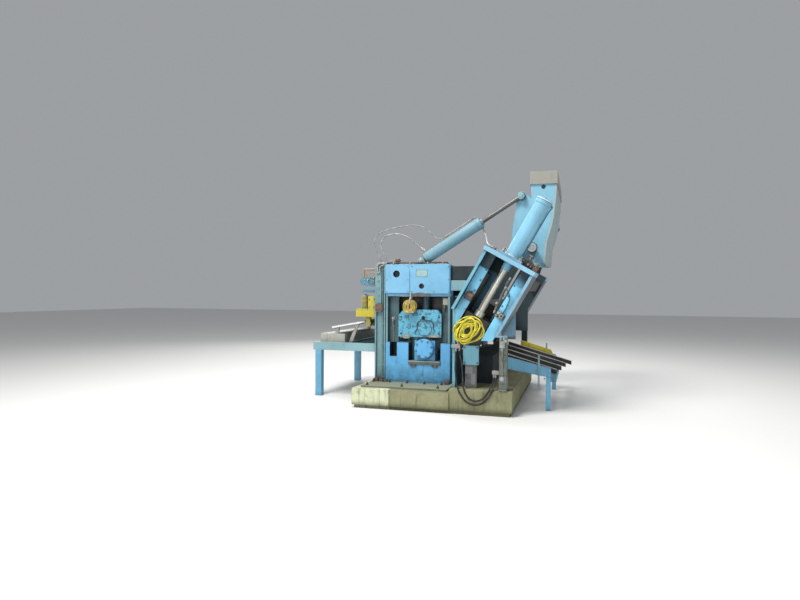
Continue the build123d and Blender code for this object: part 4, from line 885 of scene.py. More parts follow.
def collar(bm, p, axis, r_in, r_out, h, n=28, ch=1.5):
    """A ring with chamfered outer edges."""
    x, y, a = basis(axis)
    p = Vector(p)
    prof = [(0, r_in), (0, r_out), (h - ch, r_out), (h, r_out - ch), (h, r_in)]
    rings = [[bm.verts.new((p + a * d + (x * math.cos(2 * math.pi * k / n) + y * math.sin(2 * math.pi * k / n)) * r) * 0.001) for k in range(n)] for d, r in prof]
    m = len(rings)
    for i in range(m):
        ra, rb = rings[i], rings[(i + 1) % m]
        for k in range(n):
            bm.faces.new((ra[k], ra[(k + 1) % n], rb[(k + 1) % n], rb[k]))


def fitting(bm, p, axis, r, h):
    """A pipe coupling: body, hexagon and nut."""
    a = Vector(axis).normalized()
    p = Vector(p)
    turned(bm, p, a, [(0, r * 0.8), (h * 0.24, r * 0.8), (h * 0.25, r * 0.95), (h * 0.30, r)], 16)
    hexhead(bm, p + a * (h * 0.30), a, r * 1.15, h * 0.30, None, washer=False)
    turned(bm, p + a * (h * 0.58), a, [(0, r * 0.92), (h * 0.22, r * 0.92), (h * 0.26, r * 0.7), (h * 0.42, r * 0.7)], 16)


# crown: bores lined near-black as painted shade, bare nameplate, cover plate screws
bm = bmesh.new()
for s in (-1, 1):
    turned(bm, (-539, s * 1018.2, 1936), (0, s, 0), [(0, 52.7), (1.5, 52.7)], 36)
    turned(bm, (-149, s * 1018.2, 1754), (0, s, 0), [(0, 38.7), (1.5, 38.7)], 30)
    collar(bm, (-539, s * 1019, 1936), (0, s, 0), 51.2, 52.8, 40, 36, 0.4)
    collar(bm, (-149, s * 1019, 1754), (0, s, 0), 37.4, 38.8, 32, 30, 0.4)
piece("crown_bore_linings", bm, "hole", "frame")
bm = bmesh.new()
block(bm, (-147, -1053.3, 1946.5), (176, 2.4, 103))
piece("bare_nameplate", bm, "plaque", "frame", bevel=0.5, smooth=30)
bm = bmesh.new()
for dx, dz, sx, sz in ((0, 49, 178, 7), (0, -49, 178, 7), (85.5, 0, 7, 91), (-85.5, 0, 7, 91)):
    block(bm, (-147 + dx, -1055.0, 1946.5 + dz), (sx, 1.4, sz))
for dx in (-74, 74):
    for dz in (-38, 38):
        turned(bm, (-147 + dx, -1054.2, 1946.5 + dz), FRONT, [(0, 4.2), (1.6, 4.0), (2.6, 2.4)], 12)
piece("bare_nameplate_rim", bm, "plaque_rim", "frame", bevel=0.5, smooth=30)
heads("crown_panel_screws", [(x, -1060, z) for x in (-690, -360) for z in (1676, 1850)], FRONT, 8, 6, "frame", "crown", 2)
heads("crown_panel_screws_right", [(x, -1052, z) for x in (-300, 40, 258) for z in (1676,)] + [(258, -1052, 1860), (258, -1052, 2052), (-300, -1052, 2052)], FRONT, 8, 6, "frame", "crown", 5)
# dark pipe along the top of the panel, on saddles
pipe("crown_top_pipe", [(-700, -1030, 2070), (-700, -1030, 2098), (-672, -1036, 2104), (-560, -1036, 2104), (-300, -1036, 2104), (0, -1036, 2104), (212, -1036, 2104), (246, -1032, 2102), (250, -1020, 2070)], 22, "dark", "frame")
bm = bmesh.new()
for x in (-590, -330, -60, 170):
    block(bm, (x, -1036, 2087), (30, 34, 16))
    collar(bm, (x - 9, -1036, 2104), (1, 0, 0), 10.8, 14.5, 18, 16, 1.0)
piece("crown_top_pipe_saddles", bm, "grey", "frame", bevel=1.0)
# small junction with its lid on the crown
bm = bmesh.new()
block(bm, (-550, -950, 2096), (44, 34, 56))
piece("crown_junction_foot", bm, "dark", "frame", bevel=1.5)
bm = bmesh.new()
block(bm, (-550, -950, 2147), (70, 52, 46))
block(bm, (-550, -977, 2147), (60, 4, 36))
for dx in (-25, 25):
    for dz in (-13, 13):
        hexhead(bm, (-550 + dx, -979, 2147 + dz), FRONT, 3.4, 3, dx)
piece("crown_junction", bm, "orange", "frame", bevel=1.5)
bm = bmesh.new()
fitting(bm, (-585, -950, 2147), (-1, 0, 0), 11, 40)
fitting(bm, (-515, -950, 2150), (1, 0, 0), 10, 34)
fitting(bm, (42, -960, 2070), UP, 15, 44)
piece("crown_junction_fittings", bm, "light", "frame", smooth=30)
pipe("crown_junction_pipe", [(-625, -950, 2147), (-655, -950, 2147), (-668, -956, 2146), (-672, -966, 2130), (-672, -972, 2095), (-672, -972, 2068)], 12, "light", "frame")
# fittings on the exit post's top
pipe("post_top_pipe_a", [(-842, -1046, 1985), (-842, -1046, 2046), (-842, -1046, 2088), (-828, -1046, 2100), (-790, -1046, 2100), (-728, -1040, 2100), (-700, -1030, 2100), (-690, -1010, 2098), (-690, -985, 2072)], 20, "light", "frame")
pipe("post_top_pipe_b", [(-812, -1046, 1960), (-812, -1046, 2018), (-810, -1044, 2048), (-786, -1042, 2060), (-760, -1034, 2062), (-745, -1020, 2062), (-736, -1004, 2062)], 16, "light", "frame")
bm = bmesh.new()
for p, a, r, h in (((-842, -1046, 1972), UP, 15, 44), ((-842, -1046, 2050), UP, 14, 34), ((-812, -1046, 1948), UP, 13, 40), ((-772, -1043, 2100), (1, 0, 0), 14, 40),
                   ((-700, -1026, 2100), (0.5, 0.8, 0), 13, 30)):
    fitting(bm, p, a, r, h)
block(bm, (-828, -1044, 1962), (66, 12, 26))
piece("post_top_fittings", bm, "light", "frame", smooth=30)
# conduit in the groove of the post, with clips
pipe("post_conduit", [(-767, -1020, 2074), (-767, -1020, 1700), (-767, -1020, 1200), (-767, -1020, 700), (-767, -1020, 330)], 15, "post", "frame")
bm = bmesh.new()
for z in (2010, 1690, 1180, 880, 560, 372):
    block(bm, (-767, -1012, z), (34, 20, 16))
    collar(bm, (-767, -1020, z - 7), UP, 8.8, 11.5, 14, 16, 0.8)
piece("post_conduit_clips", bm, "zinc", "frame", bevel=0.8)
heads("post_cover_screws", [(-829, -1038, z) for z in range(1500, 1960, 110)], FRONT, 8, 6, "frame", "zinc", 4)
bm = bmesh.new()
for s in (-1, 1):
    block(bm, (-816.5, s * 1046, 1428), (113, 15, 101))
    block(bm, (-816.5, s * 1055, 1428), (84, 4, 46))
    for dx in (-42, 42):
        for dz in (-36, 36):
            hexhead(bm, (-816.5 + dx, s * 1053.5, 1428 + dz), (0, s, 0), 8, 7, dx + dz)
piece("post_joint_clamp", bm, "rust", "frame", bevel=1.5)
# sole plates: anchors, lugs and litter of rust at the posts' feet
bm = bmesh.new()
k = 0
for x, y in ((-880, -1110), (-620, -1110), (-350, -1110), (-80, -1110), (180, -1110), (-860, -1440), (-330, -1440), (200, -1440)):
    for s in (1, -1):
        stud(bm, (x, s * y, 305), UP, 10, 44, 17, k)
        k += 1
piece("sole_anchor_studs", bm, "rusty", "frame", smooth=30)
bm = bmesh.new()
for s in (-1, 1):
    block(bm, (-850, s * 1062, 330), (60, 60, 50))
    block(bm, (-772, s * 1064, 322), (64, 44, 34))
    block(bm, (-700, s * 1070, 318), (46, 50, 26))
    block(bm, (250, s * 1066, 330), (60, 60, 50))
    for x, z in ((-850, 355), (-772, 339), (250, 355)):
        hexhead(bm, (x, s * 1064, z), UP, 14, 13, x)
piece("sole_keys", bm, "rust", "frame", bevel=2.0)
bm = bmesh.new()
for s in (-1, 1):
    bead(bm, (-712, s * 1033, 307), (282, s * 1033, 307), 5.0, 1)
    bead(bm, (-888, s * 1033, 307), (-738, s * 1033, 307), 4.5, 2)
    bead(bm, (-687, s * 1031, 905), (-650, s * 1031, 905), 3.5, 3)
    bead(bm, (-534, s * 1031, 903), (-356, s * 1031, 903), 2.5, 3)
    bead(bm, (145, s * 1031, 905), (249, s * 1031, 905), 3.5, 4)
    bead(bm, (-712, s * 1020, 1642), (282, s * 1020, 1642), 3.0, 5)
    bead(bm, (-125, s * 1030.4, 309), (-125, s * 1030.4, 581), 2.2, 6)
    bead(bm, (42, s * 1030.4, 309), (42, s * 1030.4, 540), 1.8, 7)
piece("housing_welds", bm, "housing", "frame", smooth=60)
# near-black lining of the narrow pocket beside the slot: painted shade
bm = bmesh.new()
for s in (-1, 1):
    block(bm, (-591, s * 871.5, 797), (112, 3, 212))
    block(bm, (-646.6, s * 950, 797), (2.4, 156, 212))
    block(bm, (-535.4, s * 950, 797), (2.4, 156, 212))
    block(bm, (-591, s * 950, 692.4), (112, 156, 2.4))
piece("housing_pocket_linings", bm, "hole", "frame")
# near-black walls of the slot, beside the lower chock: painted shade
bm = bmesh.new()
for s in (-1, 1):
    block(bm, (-353, s * 930, 760), (2.4, 196, 284))
    block(bm, (142, s * 930, 760), (2.4, 196, 284))
    block(bm, (-105.5, s * 930, 584.2), (494, 196, 2.4))
piece("housing_slot_linings", bm, "hole", "frame")
# light edge strips of the window
bm = bmesh.new()
for s in (-1, 1):
    block(bm, (-698, s * 1031, 1251), (30, 2, 690))
    block(bm, (267, s * 1031, 1251), (30, 2, 690))
piece("window_edge_strips", bm, "post", "frame", bevel=0.5)
# grey arched shield that hangs from the crown's lip
bm = bmesh.new()
arc = [(-166 + 147 * math.cos(math.pi * k / 16), 1598 + 58 * math.sin(math.pi * k / 16)) for k in range(17)]
prism(bm, [(x, -1052.4, z) for x, z in arc], (0, -5, 0))
for k in (3, 8, 13):
    x, z = arc[k]
    hexhead(bm, (-166 + (x + 166) * 0.86, -1057, 1598 + (z - 1598) * 0.86), FRONT, 6, 5, k)
piece("crown_shield", bm, "dirty", "frame", bevel=0.8)
# junction box and its cable gland in the window
bm = bmesh.new()
block(bm, (213.5, -977, 1525), (97, 44, 110))
block(bm, (213.5, -1001, 1525), (88, 4, 101))
for dx in (-36, 36):
    for dz in (-43, 43):
        hexhead(bm, (213.5 + dx, -1003, 1525 + dz), FRONT, 4, 3, dz)
fitting(bm, (190, -977, 1470), (0, 0, -1), 12, 40)
fitting(bm, (236, -977, 1470), (0, 0, -1), 10, 34)
piece("window_junction_box", bm, "beige", "frame", bevel=2.0)
pipe("window_junction_pipe", [(190, -977, 1440), (190, -977, 1405), (188, -978, 1380), (170, -985, 1362), (166, -992, 1340), (166, -994, 1310), (166, -994, 1265)], 13, "dark", "frame")
bm = bmesh.new()
block(bm, (-610, -960, 1262), (54, 10, 54))
fitting(bm, (-610, -964, 1262), FRONT, 17, 46)
fitting(bm, (-610, -992, 1250), (0, 0, -1), 11, 36)
turned(bm, (-610, -954, 1150), FRONT, [(0, 12), (19, 12), (22, 8)], 16)
piece("window_grease_fitting", bm, "light", "frame", smooth=30)
pipe("window_grease_pipe", [(-610, -992, 1222), (-610, -992, 1150), (-608, -990, 1120), (-600, -978, 1098), (-600, -970, 1070), (-600, -968, 960), (-600, -968, 912)], 9, "zinc", "frame")
# bolts of the chocks
heads("upper_chock_cap_bolts", circle_pts((-106, -1017, 1113), FRONT, 84, 6, 0.4), FRONT, 9, 8, "upper_set", "zinc", 1)
heads("lower_chock_cap_bolts", circle_pts((-106, -1075, 821), FRONT, 122, 8, 0.25), FRONT, 13, 10, "frame", "blue_deep", 2)
heads("keeper_clamp_bolts", [(x + dx, -1042, 575) for x in (-275, 58) for dx in (-27, 27)], FRONT, 10, 9, "frame", "rusty", 3)
heads("upper_chock_bolts", [(-478, -1005, 1040), (-478, -1005, 1290), (108, -1005, 1040), (108, -1005, 1290)], FRONT, 11, 9, "upper_set", "dark", 6)
bm = bmesh.new()
for s in (-1, 1):
    block(bm, (-105.5, s * 1046.5, 628), (489, 3, 15))
piece("keeper_wear_strips", bm, "blue_pale", "frame", bevel=0.6)
bm = bmesh.new()
for s in (-1, 1):
    block(bm, (-391, s * 1011, 1002), (112, 12, 46))
    block(bm, (-391, s * 1014, 976), (84, 18, 20))
    block(bm, (20, s * 1011, 1004), (124, 12, 34))
    block(bm, (98, s * 1012, 1012), (30, 14, 40))
    for x, z in ((-430, 1004), (-352, 1004), (-24, 1004), (64, 1004)):
        hexhead(bm, (x, s * 1017, z), (0, s, 0), 7, 6, x)
piece("upper_chock_keepers", bm, "beige", "upper_set", bevel=1.5)
# oil lines on the face of the upper chock
pipe("upper_chock_oil_line_a", [(-129, -1000, 1278), (-129, -1012, 1276), (-136, -1018, 1262), (-170, -1016, 1238), (-205, -1013, 1220), (-222, -1012, 1188), (-224, -1012, 1120), (-238, -1012, 1085), (-262, -1012, 1060)], 10, "dark", "upper_set")
pipe("upper_chock_oil_line_b", [(-129, -1000, 1272), (-125, -1012, 1262), (-92, -1016, 1246), (-30, -1013, 1240), (12, -1012, 1226), (24, -1012, 1190), (26, -1012, 1120), (40, -1012, 1092)], 10, "dark", "upper_set")
bm = bmesh.new()
for p in ((-262, -1005, 1060), (40, -1005, 1090), (-205, -1005, 1216), (10, -1005, 1222)):
    turned(bm, p, FRONT, [(0, 13), (9, 13), (12, 9)], 12)
for x, z, w, h in ((-395, 1290, 74, 30), (-350, 1150, 40, 70), (60, 1190, 46, 60), (-60, 1345, 90, 26), (-250, 1330, 60, 40)):
    block(bm, (x, -1008.5, z), (w, 7, h))
piece("upper_chock_line_clips", bm, "blue_deep", "upper_set", bevel=1.5)

# slide frames: boxes, pipes and welds
bm = bmesh.new()
block(bm, spv(-247.5, -717.5, -1530), (105, 60, 105), x=AX_N, z=AX_U)
block(bm, spv(-247.5, -717.5, -1562), (92, 4, 92), x=AX_N, z=AX_U)
for dn in (-38, 38):
    for dt in (-38, 38):
        hexhead(bm, spv(-247.5 + dn, -717.5 + dt, -1564), FRONT, 5, 4, dn)
piece("slide_sensor_box", bm, "box_brown", "frame", bevel=2.0)
bm = bmesh.new()
block(bm, spv(-236, -690, -1566), (66, 5, 44), x=AX_N, z=AX_U)
fitting(bm, spv(-247, -665, -1530), AX_U, 12, 36)
piece("slide_sensor_lid", bm, "orange", "frame", bevel=1.0)
bm = bmesh.new()
block(bm, spv(250, -740, -1506), (104, 12, 84), x=AX_N, z=AX_U)
block(bm, spv(268, -728, -1536), (54, 56, 46), x=AX_N, z=AX_U)
block(bm, spv(210, -712, -1526), (40, 40, 34), x=AX_N, z=AX_U)
fitting(bm, spv(232, -716, -1530), AX_U, 12, 40)
fitting(bm, spv(212, -756, -1520), (-NX, 0, -NZ), 10, 34)
piece("slide_valve_bracket", bm, "light", "frame", bevel=1.5)
# near-black discs in the valve bracket's ports: painted shade of the bores
bm = bmesh.new()
turned(bm, spv(268, -728, -1563.5), FRONT, [(0, 17), (2, 17)], 20)
turned(bm, spv(222, -762, -1512), FRONT, [(0, 12), (4, 12)], 16)
piece("slide_valve_bore", bm, "hole", "frame")
a0, a1 = spv(111, -269, -1505), spv(150, -704, -1505)
da = (a1 - a0).normalized()
bm = bmesh.new()
turned(bm, a0, da, [(0, 13), (4, 17.5), (430, 17.5), (434, 13)], 20)
for d in (60, 215, 372):
    block(bm, a0 + da * d + Vector((0, 13, 0)), (56, 22, 26), x=AX_N, z=AX_U)
piece("slide_side_tube", bm, "dirty", "frame", smooth=30)
bm = bmesh.new()
fitting(bm, spv(129, -372, -1528), FRONT, 17, 40)
turned(bm, spv(129, -372, -1510), FRONT, [(0, 20), (20, 20)], 20)
turned(bm, spv(124, -608, -1510), FRONT, [(0, 20), (20, 20)], 20)
fitting(bm, spv(124, -608, -1526), FRONT, 16, 36)
fitting(bm, spv(111, -262, -1505), AX_U, 15, 44)
fitting(bm, spv(150, -704, -1505), tuple(da), 15, 44)
fitting(bm, spv(-212, -902, -1500), FRONT, 12, 30)
piece("slide_tube_fittings", bm, "light", "frame", smooth=30)
pipe("slide_grease_pipe", [spv(129, -372, -1560), spv(134, -372, -1572), spv(160, -380, -1576), spv(215, -420, -1560), spv(250, -470, -1530), spv(262, -560, -1512), spv(264, -650, -1512), spv(266, -700, -1512)], 11, "dark", "frame")
bm = bmesh.new()
for s in (-1, 1):
    bead(bm, spv(-329, -63, s * 1502), spv(-329, -700, s * 1502), 4.5, 11)
    bead(bm, spv(329, -63, s * 1502), spv(329, -1040, s * 1502), 4.5, 12)
    bead(bm, spv(-329, -63, s * 1502), spv(-208, -63, s * 1502), 4.0, 13)
    bead(bm, spv(192, -63, s * 1502), spv(329, -63, s * 1502), 4.0, 14)
    bead(bm, spv(-387, 2, s * 1001), spv(-387, 2, s * 1638), 3.5, 15)
    bead(bm, spv(42, 3, s * 1062), spv(238, 3, s * 1062), 4.5, 16)
piece("slide_welds", bm, "slide", "frame", smooth=60)
heads("slide_web_bolts", [spv(n, t, -1500) for n in (-226, 208) for t in (-130, -290, -450, -610)], FRONT, 10, 8, "frame", "blue_deep", 9)
bm = bmesh.new()
k = 0
for s in (-1, 1):
    for dn in (-130, 130):
        for dy in (-130, 130):
            stud(bm, spv(-20 + dn, 35, s * 1400 + dy), AX_U, 14, 62, 26, k)
            k += 1
    for p in circle_pts(spv(-20, 905, s * 1400), AX_U, 96, 8, 0.2):
        hexhead(bm, p, AX_U, 10, 10, k)
        k += 1
    for p in circle_pts(spv(-20, -170, s * 1400), AX_U, 53, 6, 0.2):
        hexhead(bm, p, (-UX, 0, -UZ), 5, 5, k)
        k += 1
piece("press_cylinder_bolts", bm, "zinc", "frame", smooth=30)
# feed pipes close along the press cylinders' entry sides
for tag, s in (("near", -1), ("far", 1)):
    pipe("press_feed_" + tag, [spv(78, 862, s * 1400), spv(104, 862, s * 1400), spv(114, 858, s * 1400), spv(114, 832, s * 1400), spv(104, 800, s * 1400), spv(101, 720, s * 1400), spv(101, 400, s * 1400), spv(101, 120, s * 1400), spv(106, 86, s * 1400), spv(124, 62, s * 1398), spv(146, 46, s * 1392), spv(160, 40, s * 1388)], 20, "blue_deep", "frame")
    bm = bmesh.new()
    fitting(bm, spv(84, 862, s * 1400), AX_N, 15, 26)
    for t in (250, 580):
        block(bm, spv(96, t, s * 1400), (14, 44, 20), x=AX_N, z=AX_U)
        collar(bm, spv(101, t - 10, s * 1400), AX_U, 9.8, 13.0, 20, 16, 1.0)
    piece("press_feed_clips_" + tag, bm, "blue_deep", "frame", bevel=1.0)
# valves on the top plate
bm = bmesh.new()
block(bm, spv(215, 38, -1330), (150, 96, 76), x=AX_N, z=AX_U)
block(bm, spv(215, 84, -1330), (96, 70, 20), x=AX_N, z=AX_U)
for dn in (-60, 60):
    for dy in (-36, 36):
        hexhead(bm, spv(215 + dn, 76, -1330 + dy), AX_U, 7, 7, dn)
piece("top_valve_block", bm, "rust", "frame", bevel=2.0)
bm = bmesh.new()
fitting(bm, spv(185, 92, -1330), AX_U, 17, 62)
fitting(bm, spv(240, 92, -1330), AX_U, 15, 52)
fitting(bm, spv(290, 40, -1345), AX_N, 15, 46)
fitting(bm, spv(215, 44, -1378), FRONT, 15, 50)
fitting(bm, spv(258, 30, -1378), FRONT, 12, 40)
turned(bm, spv(185, 152, -1330), AX_U, [(0, 22), (8, 26), (20, 26), (24, 20)], 20)
piece("top_valve_fittings", bm, "light", "frame", smooth=30)
bm = bmesh.new()
block(bm, spv(330, 26, -1420), (64, 60, 52), x=AX_N, z=AX_U)
turned(bm, spv(330, 50, -1420), AX_U, [(0, 24), (34, 24), (40, 16), (62, 16)], 20)
piece("top_valve_actuator", bm, "orange", "frame", bevel=1.5)
pipe("top_valve_pipe", [spv(336, 42, -1345), spv(350, 42, -1345), spv(358, 50, -1350), spv(358, 80, -1372), spv(346, 96, -1396), spv(335, 104, -1412), spv(330, 110, -1420)], 12, "brass", "frame")

# lower part of the slides: cyan face, patches, block on the post
bm = bmesh.new()
for s in (-1, 1):
    block(bm, (679, s * 1500.5, 798.5), (216, 3, 262))
piece("stop_plate_faces", bm, "cyan", "frame", bevel=1.0)
bm = bmesh.new()
for s in (-1, 1):
    block(bm, (655, s * 1502, 590), (104, 6, 96))
    block(bm, (714, s * 1501, 470), (60, 4, 150))
piece("stop_plate_patches", bm, "violet_grey", "frame", bevel=1.0)
heads("stop_plate_bolts", [(592, -1502, 905), (766, -1502, 905), (592, -1502, 692), (766, -1502, 692)], FRONT, 11, 9, "frame", "blue_deep", 2)
bm = bmesh.new()
for s in (-1, 1):
    block(bm, (1094, s * 1560, 1110), (30, 118, 46))
    block(bm, (1132, s * 1634, 500), (96, 26, 90))
    block(bm, (1132, s * 1628, 356), (106, 20, 22))
    hexhead(bm, (1100, s * 1638, 356), (0, s, 0), 8, 7, 1)
    hexhead(bm, (1166, s * 1638, 356), (0, s, 0), 8, 7, 2)
piece("right_post_brackets", bm, "violet_grey", "frame", bevel=2.0)
bm = bmesh.new()
turned(bm, (1126, -1646, 509), FRONT, [(0, 30), (14, 30), (18, 24), (30, 24), (34, 18)], 28)
block(bm, (1124, -1634, 968), (62, 26, 92))
block(bm, (1166, -1630, 1016), (34, 18, 34))
fitting(bm, (1124, -1646, 990), FRONT, 15, 36)
fitting(bm, (1108, -1634, 1014), UP, 13, 46)
fitting(bm, (1146, -1634, 1014), UP, 12, 60)
fitting(bm, (1124, -1634, 922), (0, 0, -1), 12, 40)
piece("right_post_fittings", bm, "light", "frame", bevel=1.0, smooth=30)
pipe("right_post_pipe", [(1124, -1634, 888), (1124, -1634, 800), (1124, -1634, 720), (1126, -1632, 660), (1126, -1630, 600), (1126, -1630, 552)], 14, "zinc", "frame")
bm = bmesh.new()
for s in (-1, 1):
    bead(bm, (1085, s * 1623, 348), (1181, s * 1623, 348), 4.5, 21)
    bead(bm, (1086, s * 1622, 1058), (1180, s * 1622, 1058), 4.0, 22)
piece("right_post_welds", bm, "post", "frame", smooth=60)

# arm and lift cylinders
lo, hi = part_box("arm_pivot_shaft")
heads("arm_pivot_cap_bolts", circle_pts((1456, lo[1] * 1000, 2302), FRONT, 30, 4, 0.7), FRONT, 6, 5, "arm", "zinc", 1)
bm = bmesh.new()
for k, p in enumerate(circle_pts(lpv(1045, 0, -933), AX_L, 69, 8, 0.3)):
    hexhead(bm, p, AX_L, 8, 8, k)
collar(bm, lpv(1069, 0, -933), AX_L, 40, 47, 8, 28, 1.5)
piece("lift_head_bolts", bm, "zinc", "lift_barrels", smooth=30)
bm = bmesh.new()
for sd in (104, 962):
    collar(bm, lpv(sd, 0, -933), AX_L, 82, 86, 12, 36, 1.5)
piece("lift_barrel_bands", bm, "barrel_lift", "lift_barrels", smooth=30)
bm = bmesh.new()
for s in (-1, 1):
    bead(bm, (1425, s * 902, 3211), (1750, s * 902, 3211), 5.0, 31)
    bead(bm, (1222, s * 902, 2905), (1222, s * 902, 3036), 4.0, 32)
piece("arm_welds", bm, "arm", "arm", smooth=60)
bm = bmesh.new()
for dx in (-87, 87):
    for dy in (-62, 62):
        hexhead(bm, (-171 + dx, -933 + dy, 2094), UP, 7, 8, dx)
piece("clevis_foot_bolts", bm, "zinc", "frame", smooth=30)
# cap over the clevis pin
lo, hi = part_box("lift_clevises")
bm = bmesh.new()
turned(bm, (-171, lo[1] * 1000 + 1, 2133), FRONT, [(0, 31), (5, 31), (8, 27)], 28)
hexhead(bm, (-171, lo[1] * 1000 - 7, 2133), FRONT, 11, 9, 1, washer=False)
piece("clevis_pin_cap", bm, "zinc", "frame", smooth=30)
# pale bands round the press cylinders' heads: painted highlight on their edges
bm = bmesh.new()
for s in (-1, 1):
    collar(bm, spv(-20, 893, s * 1400), AX_U, 107, 115.5, 11, 48, 2.0)
    collar(bm, spv(-20, 36, s * 1400), AX_U, 107, 124, 12, 48, 2.0)
piece("press_cylinder_bands", bm, "pale_sheet_highlight", "frame", smooth=30)
# dark rings below the head bands: painted shade of a groove
bm = bmesh.new()
for s in (-1, 1):
    collar(bm, spv(-20, 882, s * 1400), AX_U, 107, 114.2, 9, 48, 0.6)
piece("press_cylinder_groove_shade", bm, "blue_deep", "frame", smooth=30)
# pale cap on the eye of the lift rod, with its grease nipple
lo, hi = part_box("lift_rods")
bm = bmesh.new()
turned(bm, (1293, lo[1] * 1000 + 1, 3047), FRONT, [(0, 50), (4, 50), (7, 45), (7.5, 22), (12, 20)], 32)
for k, p in enumerate(circle_pts((1293, lo[1] * 1000 - 6, 3047), FRONT, 35, 4, 0.6)):
    hexhead(bm, p, FRONT, 5, 4, k)
piece("lift_eye_cap", bm, "blue_pale", "lift_rods", smooth=30)

# tables
bm = bmesh.new()
for y, x0, x1 in ((830, 925, 1980), (280, 985, 1900), (-280, 1045, 1850), (-830, 1105, 1800)):
    x0, x1 = x0 + 2, x1 - 2
    prism(bm, [(x0, y - 29, table_z(x0)), (x1, y - 29, table_z(x1)), (x1, y - 29, table_z(x1) + 4), (x0, y - 29, table_z(x0) + 4)], (0, 58, 0))
piece("skid_wear_strips", bm, "bright", "frame", bevel=0.6)
bm = bmesh.new()
for s in (-1, 1):
    prism(bm, [(-1710, s * 780.5, 1077), (-1142, s * 780.5, 1179), (-1142, s * 780.5, 1206), (-1710, s * 780.5, 1104)], (0, s * 4, 0))
prism(bm, [(-1708, -779, 1105.2), (-1142, -779, 1206.2), (-1142, -779, 1208.2), (-1708, -779, 1107.2)], (0, 1558, 0))
piece("apron_cover_sheet", bm, "pale_sheet_highlight", "frame", bevel=0.5)
bm = bmesh.new()
for s in (-1, 1):
    block(bm, (1560, s * 1006, 545), (26, 12, 500))
    for z in (510, 585):
        hexhead(bm, (1560, s * 1012, z), (0, s, 0), 7, 6, z)
piece("entry_flat_bars", bm, "blue_pale", "frame", bevel=1.0)
heads("entry_rail_bolts", [(x, -1000, table_z(x) - 175 + 0.03 * (x - 1114)) for x in (1180, 1300, 1640)], FRONT, 10, 8, "frame", "zinc", 2)
bm = bmesh.new()
for s in (-1, 1):
    bead(bm, (1118, s * 1001.5, 570), (1720, s * 1001.5, 472), 3.5, 41)
piece("entry_rail_welds", bm, "blue", "frame", smooth=60)
# guard on the exit side: ledge, ribbed case, caps and bolts
bm = bmesh.new()
for s in (-1, 1):
    block(bm, (-1116, s * 920, 1391), (186, 150, 22))
    for dx in (-78, 74):
        for dy in (-58, 58):
            hexhead(bm, (-1116 + dx, s * 920 + dy, 1402), UP, 9, 8, dx)
piece("exit_guard_ledges", bm, "yellow", "frame", bevel=2.0)
bm = bmesh.new()
prof = [(0, 60)]
d = 4
while d < 172:
    prof += [(d, 62), (d + 9, 62), (d + 11, 52), (d + 18, 52)]
    d += 20
prof += [(d, 62), (d + 6, 60)]
for s in (-1, 1):
    turned(bm, (-1082, s * 920, 1402), UP, prof, 28)
piece("exit_guard_ribbed_cases", bm, "yellow_dull", "frame", smooth=30)
bm = bmesh.new()
for s in (-1, 1):
    turned(bm, (-1082, s * 920, 1402 + d + 6), UP, [(0, 54), (10, 54), (16, 44)], 28)
    fitting(bm, (-1082, s * 920, 1402 + d + 20), UP, 18, 26)
piece("exit_guard_caps", bm, "light", "frame", bevel=1.0, smooth=30)
heads("exit_guard_bolts", [(-960 + dx, -996, z) for dx in (-36, 36) for z in (1430, 1550)], FRONT, 10, 8, "frame", "zinc", 2)
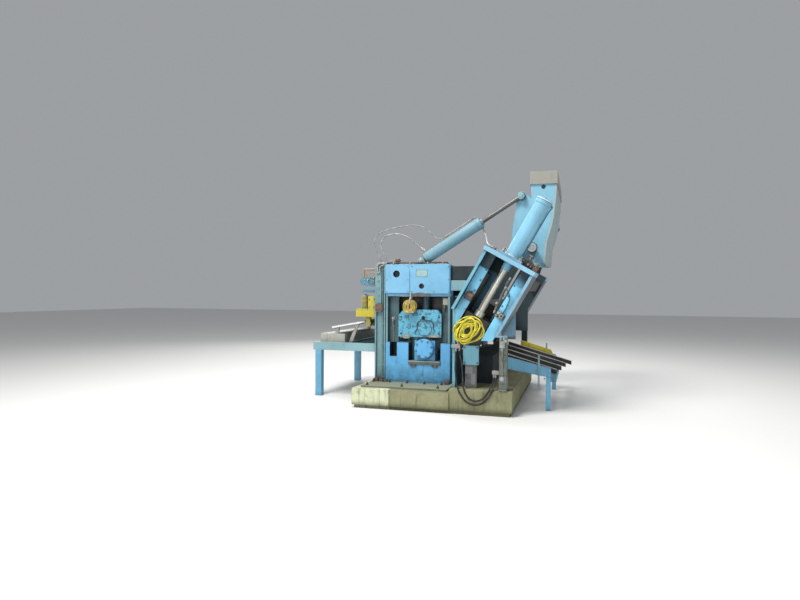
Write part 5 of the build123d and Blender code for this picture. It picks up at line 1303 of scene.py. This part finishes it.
# tan pipe frame and brass couplings on the valve block
pipe("exit_pipe_frame", [(-1098, -965, 1868), (-1098, -965, 1960), (-1098, -965, 1998), (-1086, -965, 2012), (-1050, -965, 2012), (-960, -965, 2012), (-900, -965, 2012), (-886, -965, 2012)], 30, "tan", "frame")
pipe("exit_pipe_frame_low", [(-1060, -965, 1885), (-1060, -965, 1930), (-1056, -965, 1944), (-1030, -965, 1950), (-960, -965, 1950), (-900, -965, 1950), (-886, -965, 1950)], 18, "tan", "frame")
bm = bmesh.new()
for x, z in ((-915, 1880), (-915, 1838), (-1010, 1850)):
    fitting(bm, (x, -990, z), FRONT, 15, 42)
fitting(bm, (-1060, -965, 1880), UP, 15, 34)
piece("valve_block_couplings", bm, "brass", "frame", smooth=30)
bm = bmesh.new()
for k, (x, z) in enumerate(((-1080, 1800), (-1080, 1850), (-960, 1790), (-960, 1880))):
    hexhead(bm, (x, -990, z), FRONT, 9, 8, k)
piece("valve_block_bolts", bm, "zinc", "frame", smooth=30)

# ------------------------------------------------------------------ floor, light
floor_mat, nt = new_mat("floor_mat")
surface(nt, (0.74, 0.735, 0.72), 0.85, 0.0, None, specular=0.2)
bm = bmesh.new()
bmesh.ops.create_grid(bm, x_segments=1, y_segments=1, size=40.0)
me = bpy.data.meshes.new("floor")
bm.to_mesh(me)
bm.free()
floor = bpy.data.objects.new("floor", me)
floor.location = (0.0, 0.0, -0.0005)
me.materials.append(floor_mat)
scene.collection.objects.link(floor)

world = bpy.data.worlds.new("world")
scene.world = world
world.use_nodes = True
world.node_tree.nodes["Background"].inputs[0].default_value = (0.80, 0.83, 0.86, 1.0)
world.node_tree.nodes["Background"].inputs[1].default_value = 0.42


def area(name, loc, target, size, power, color=(1, 1, 1)):
    d = bpy.data.lights.new(name, "AREA")
    d.shape = "RECTANGLE"
    d.size, d.size_y = size
    d.energy = power
    d.color = color
    o = bpy.data.objects.new(name, d)
    o.location = loc
    o.rotation_euler = (Vector(target) - Vector(loc)).to_track_quat("-Z", "Y").to_euler()
    scene.collection.objects.link(o)
    return o


area("key", (-2.0, -5.2, 9.6), (0.2, 0.0, 1.2), (3.2, 2.6), 980.0, (1.0, 0.985, 0.96))
area("fill", (6.5, -8.0, 3.2), (0.3, 0.0, 1.4), (4.0, 4.0), 120.0, (0.93, 0.97, 1.0))
area("front", (-3.5, -9.5, 3.4), (0.0, 0.0, 1.3), (4.0, 3.0), 165.0, (0.97, 0.99, 1.0))
area("top", (0.5, 1.0, 9.5), (0.0, 0.0, 1.0), (5.0, 5.0), 520.0)
area("back", (-5.0, 8.0, 5.5), (0.0, 0.0, 1.6), (4.0, 4.0), 220.0)
scene.view_settings.view_transform = "Standard"

bpy.context.view_layer.update()
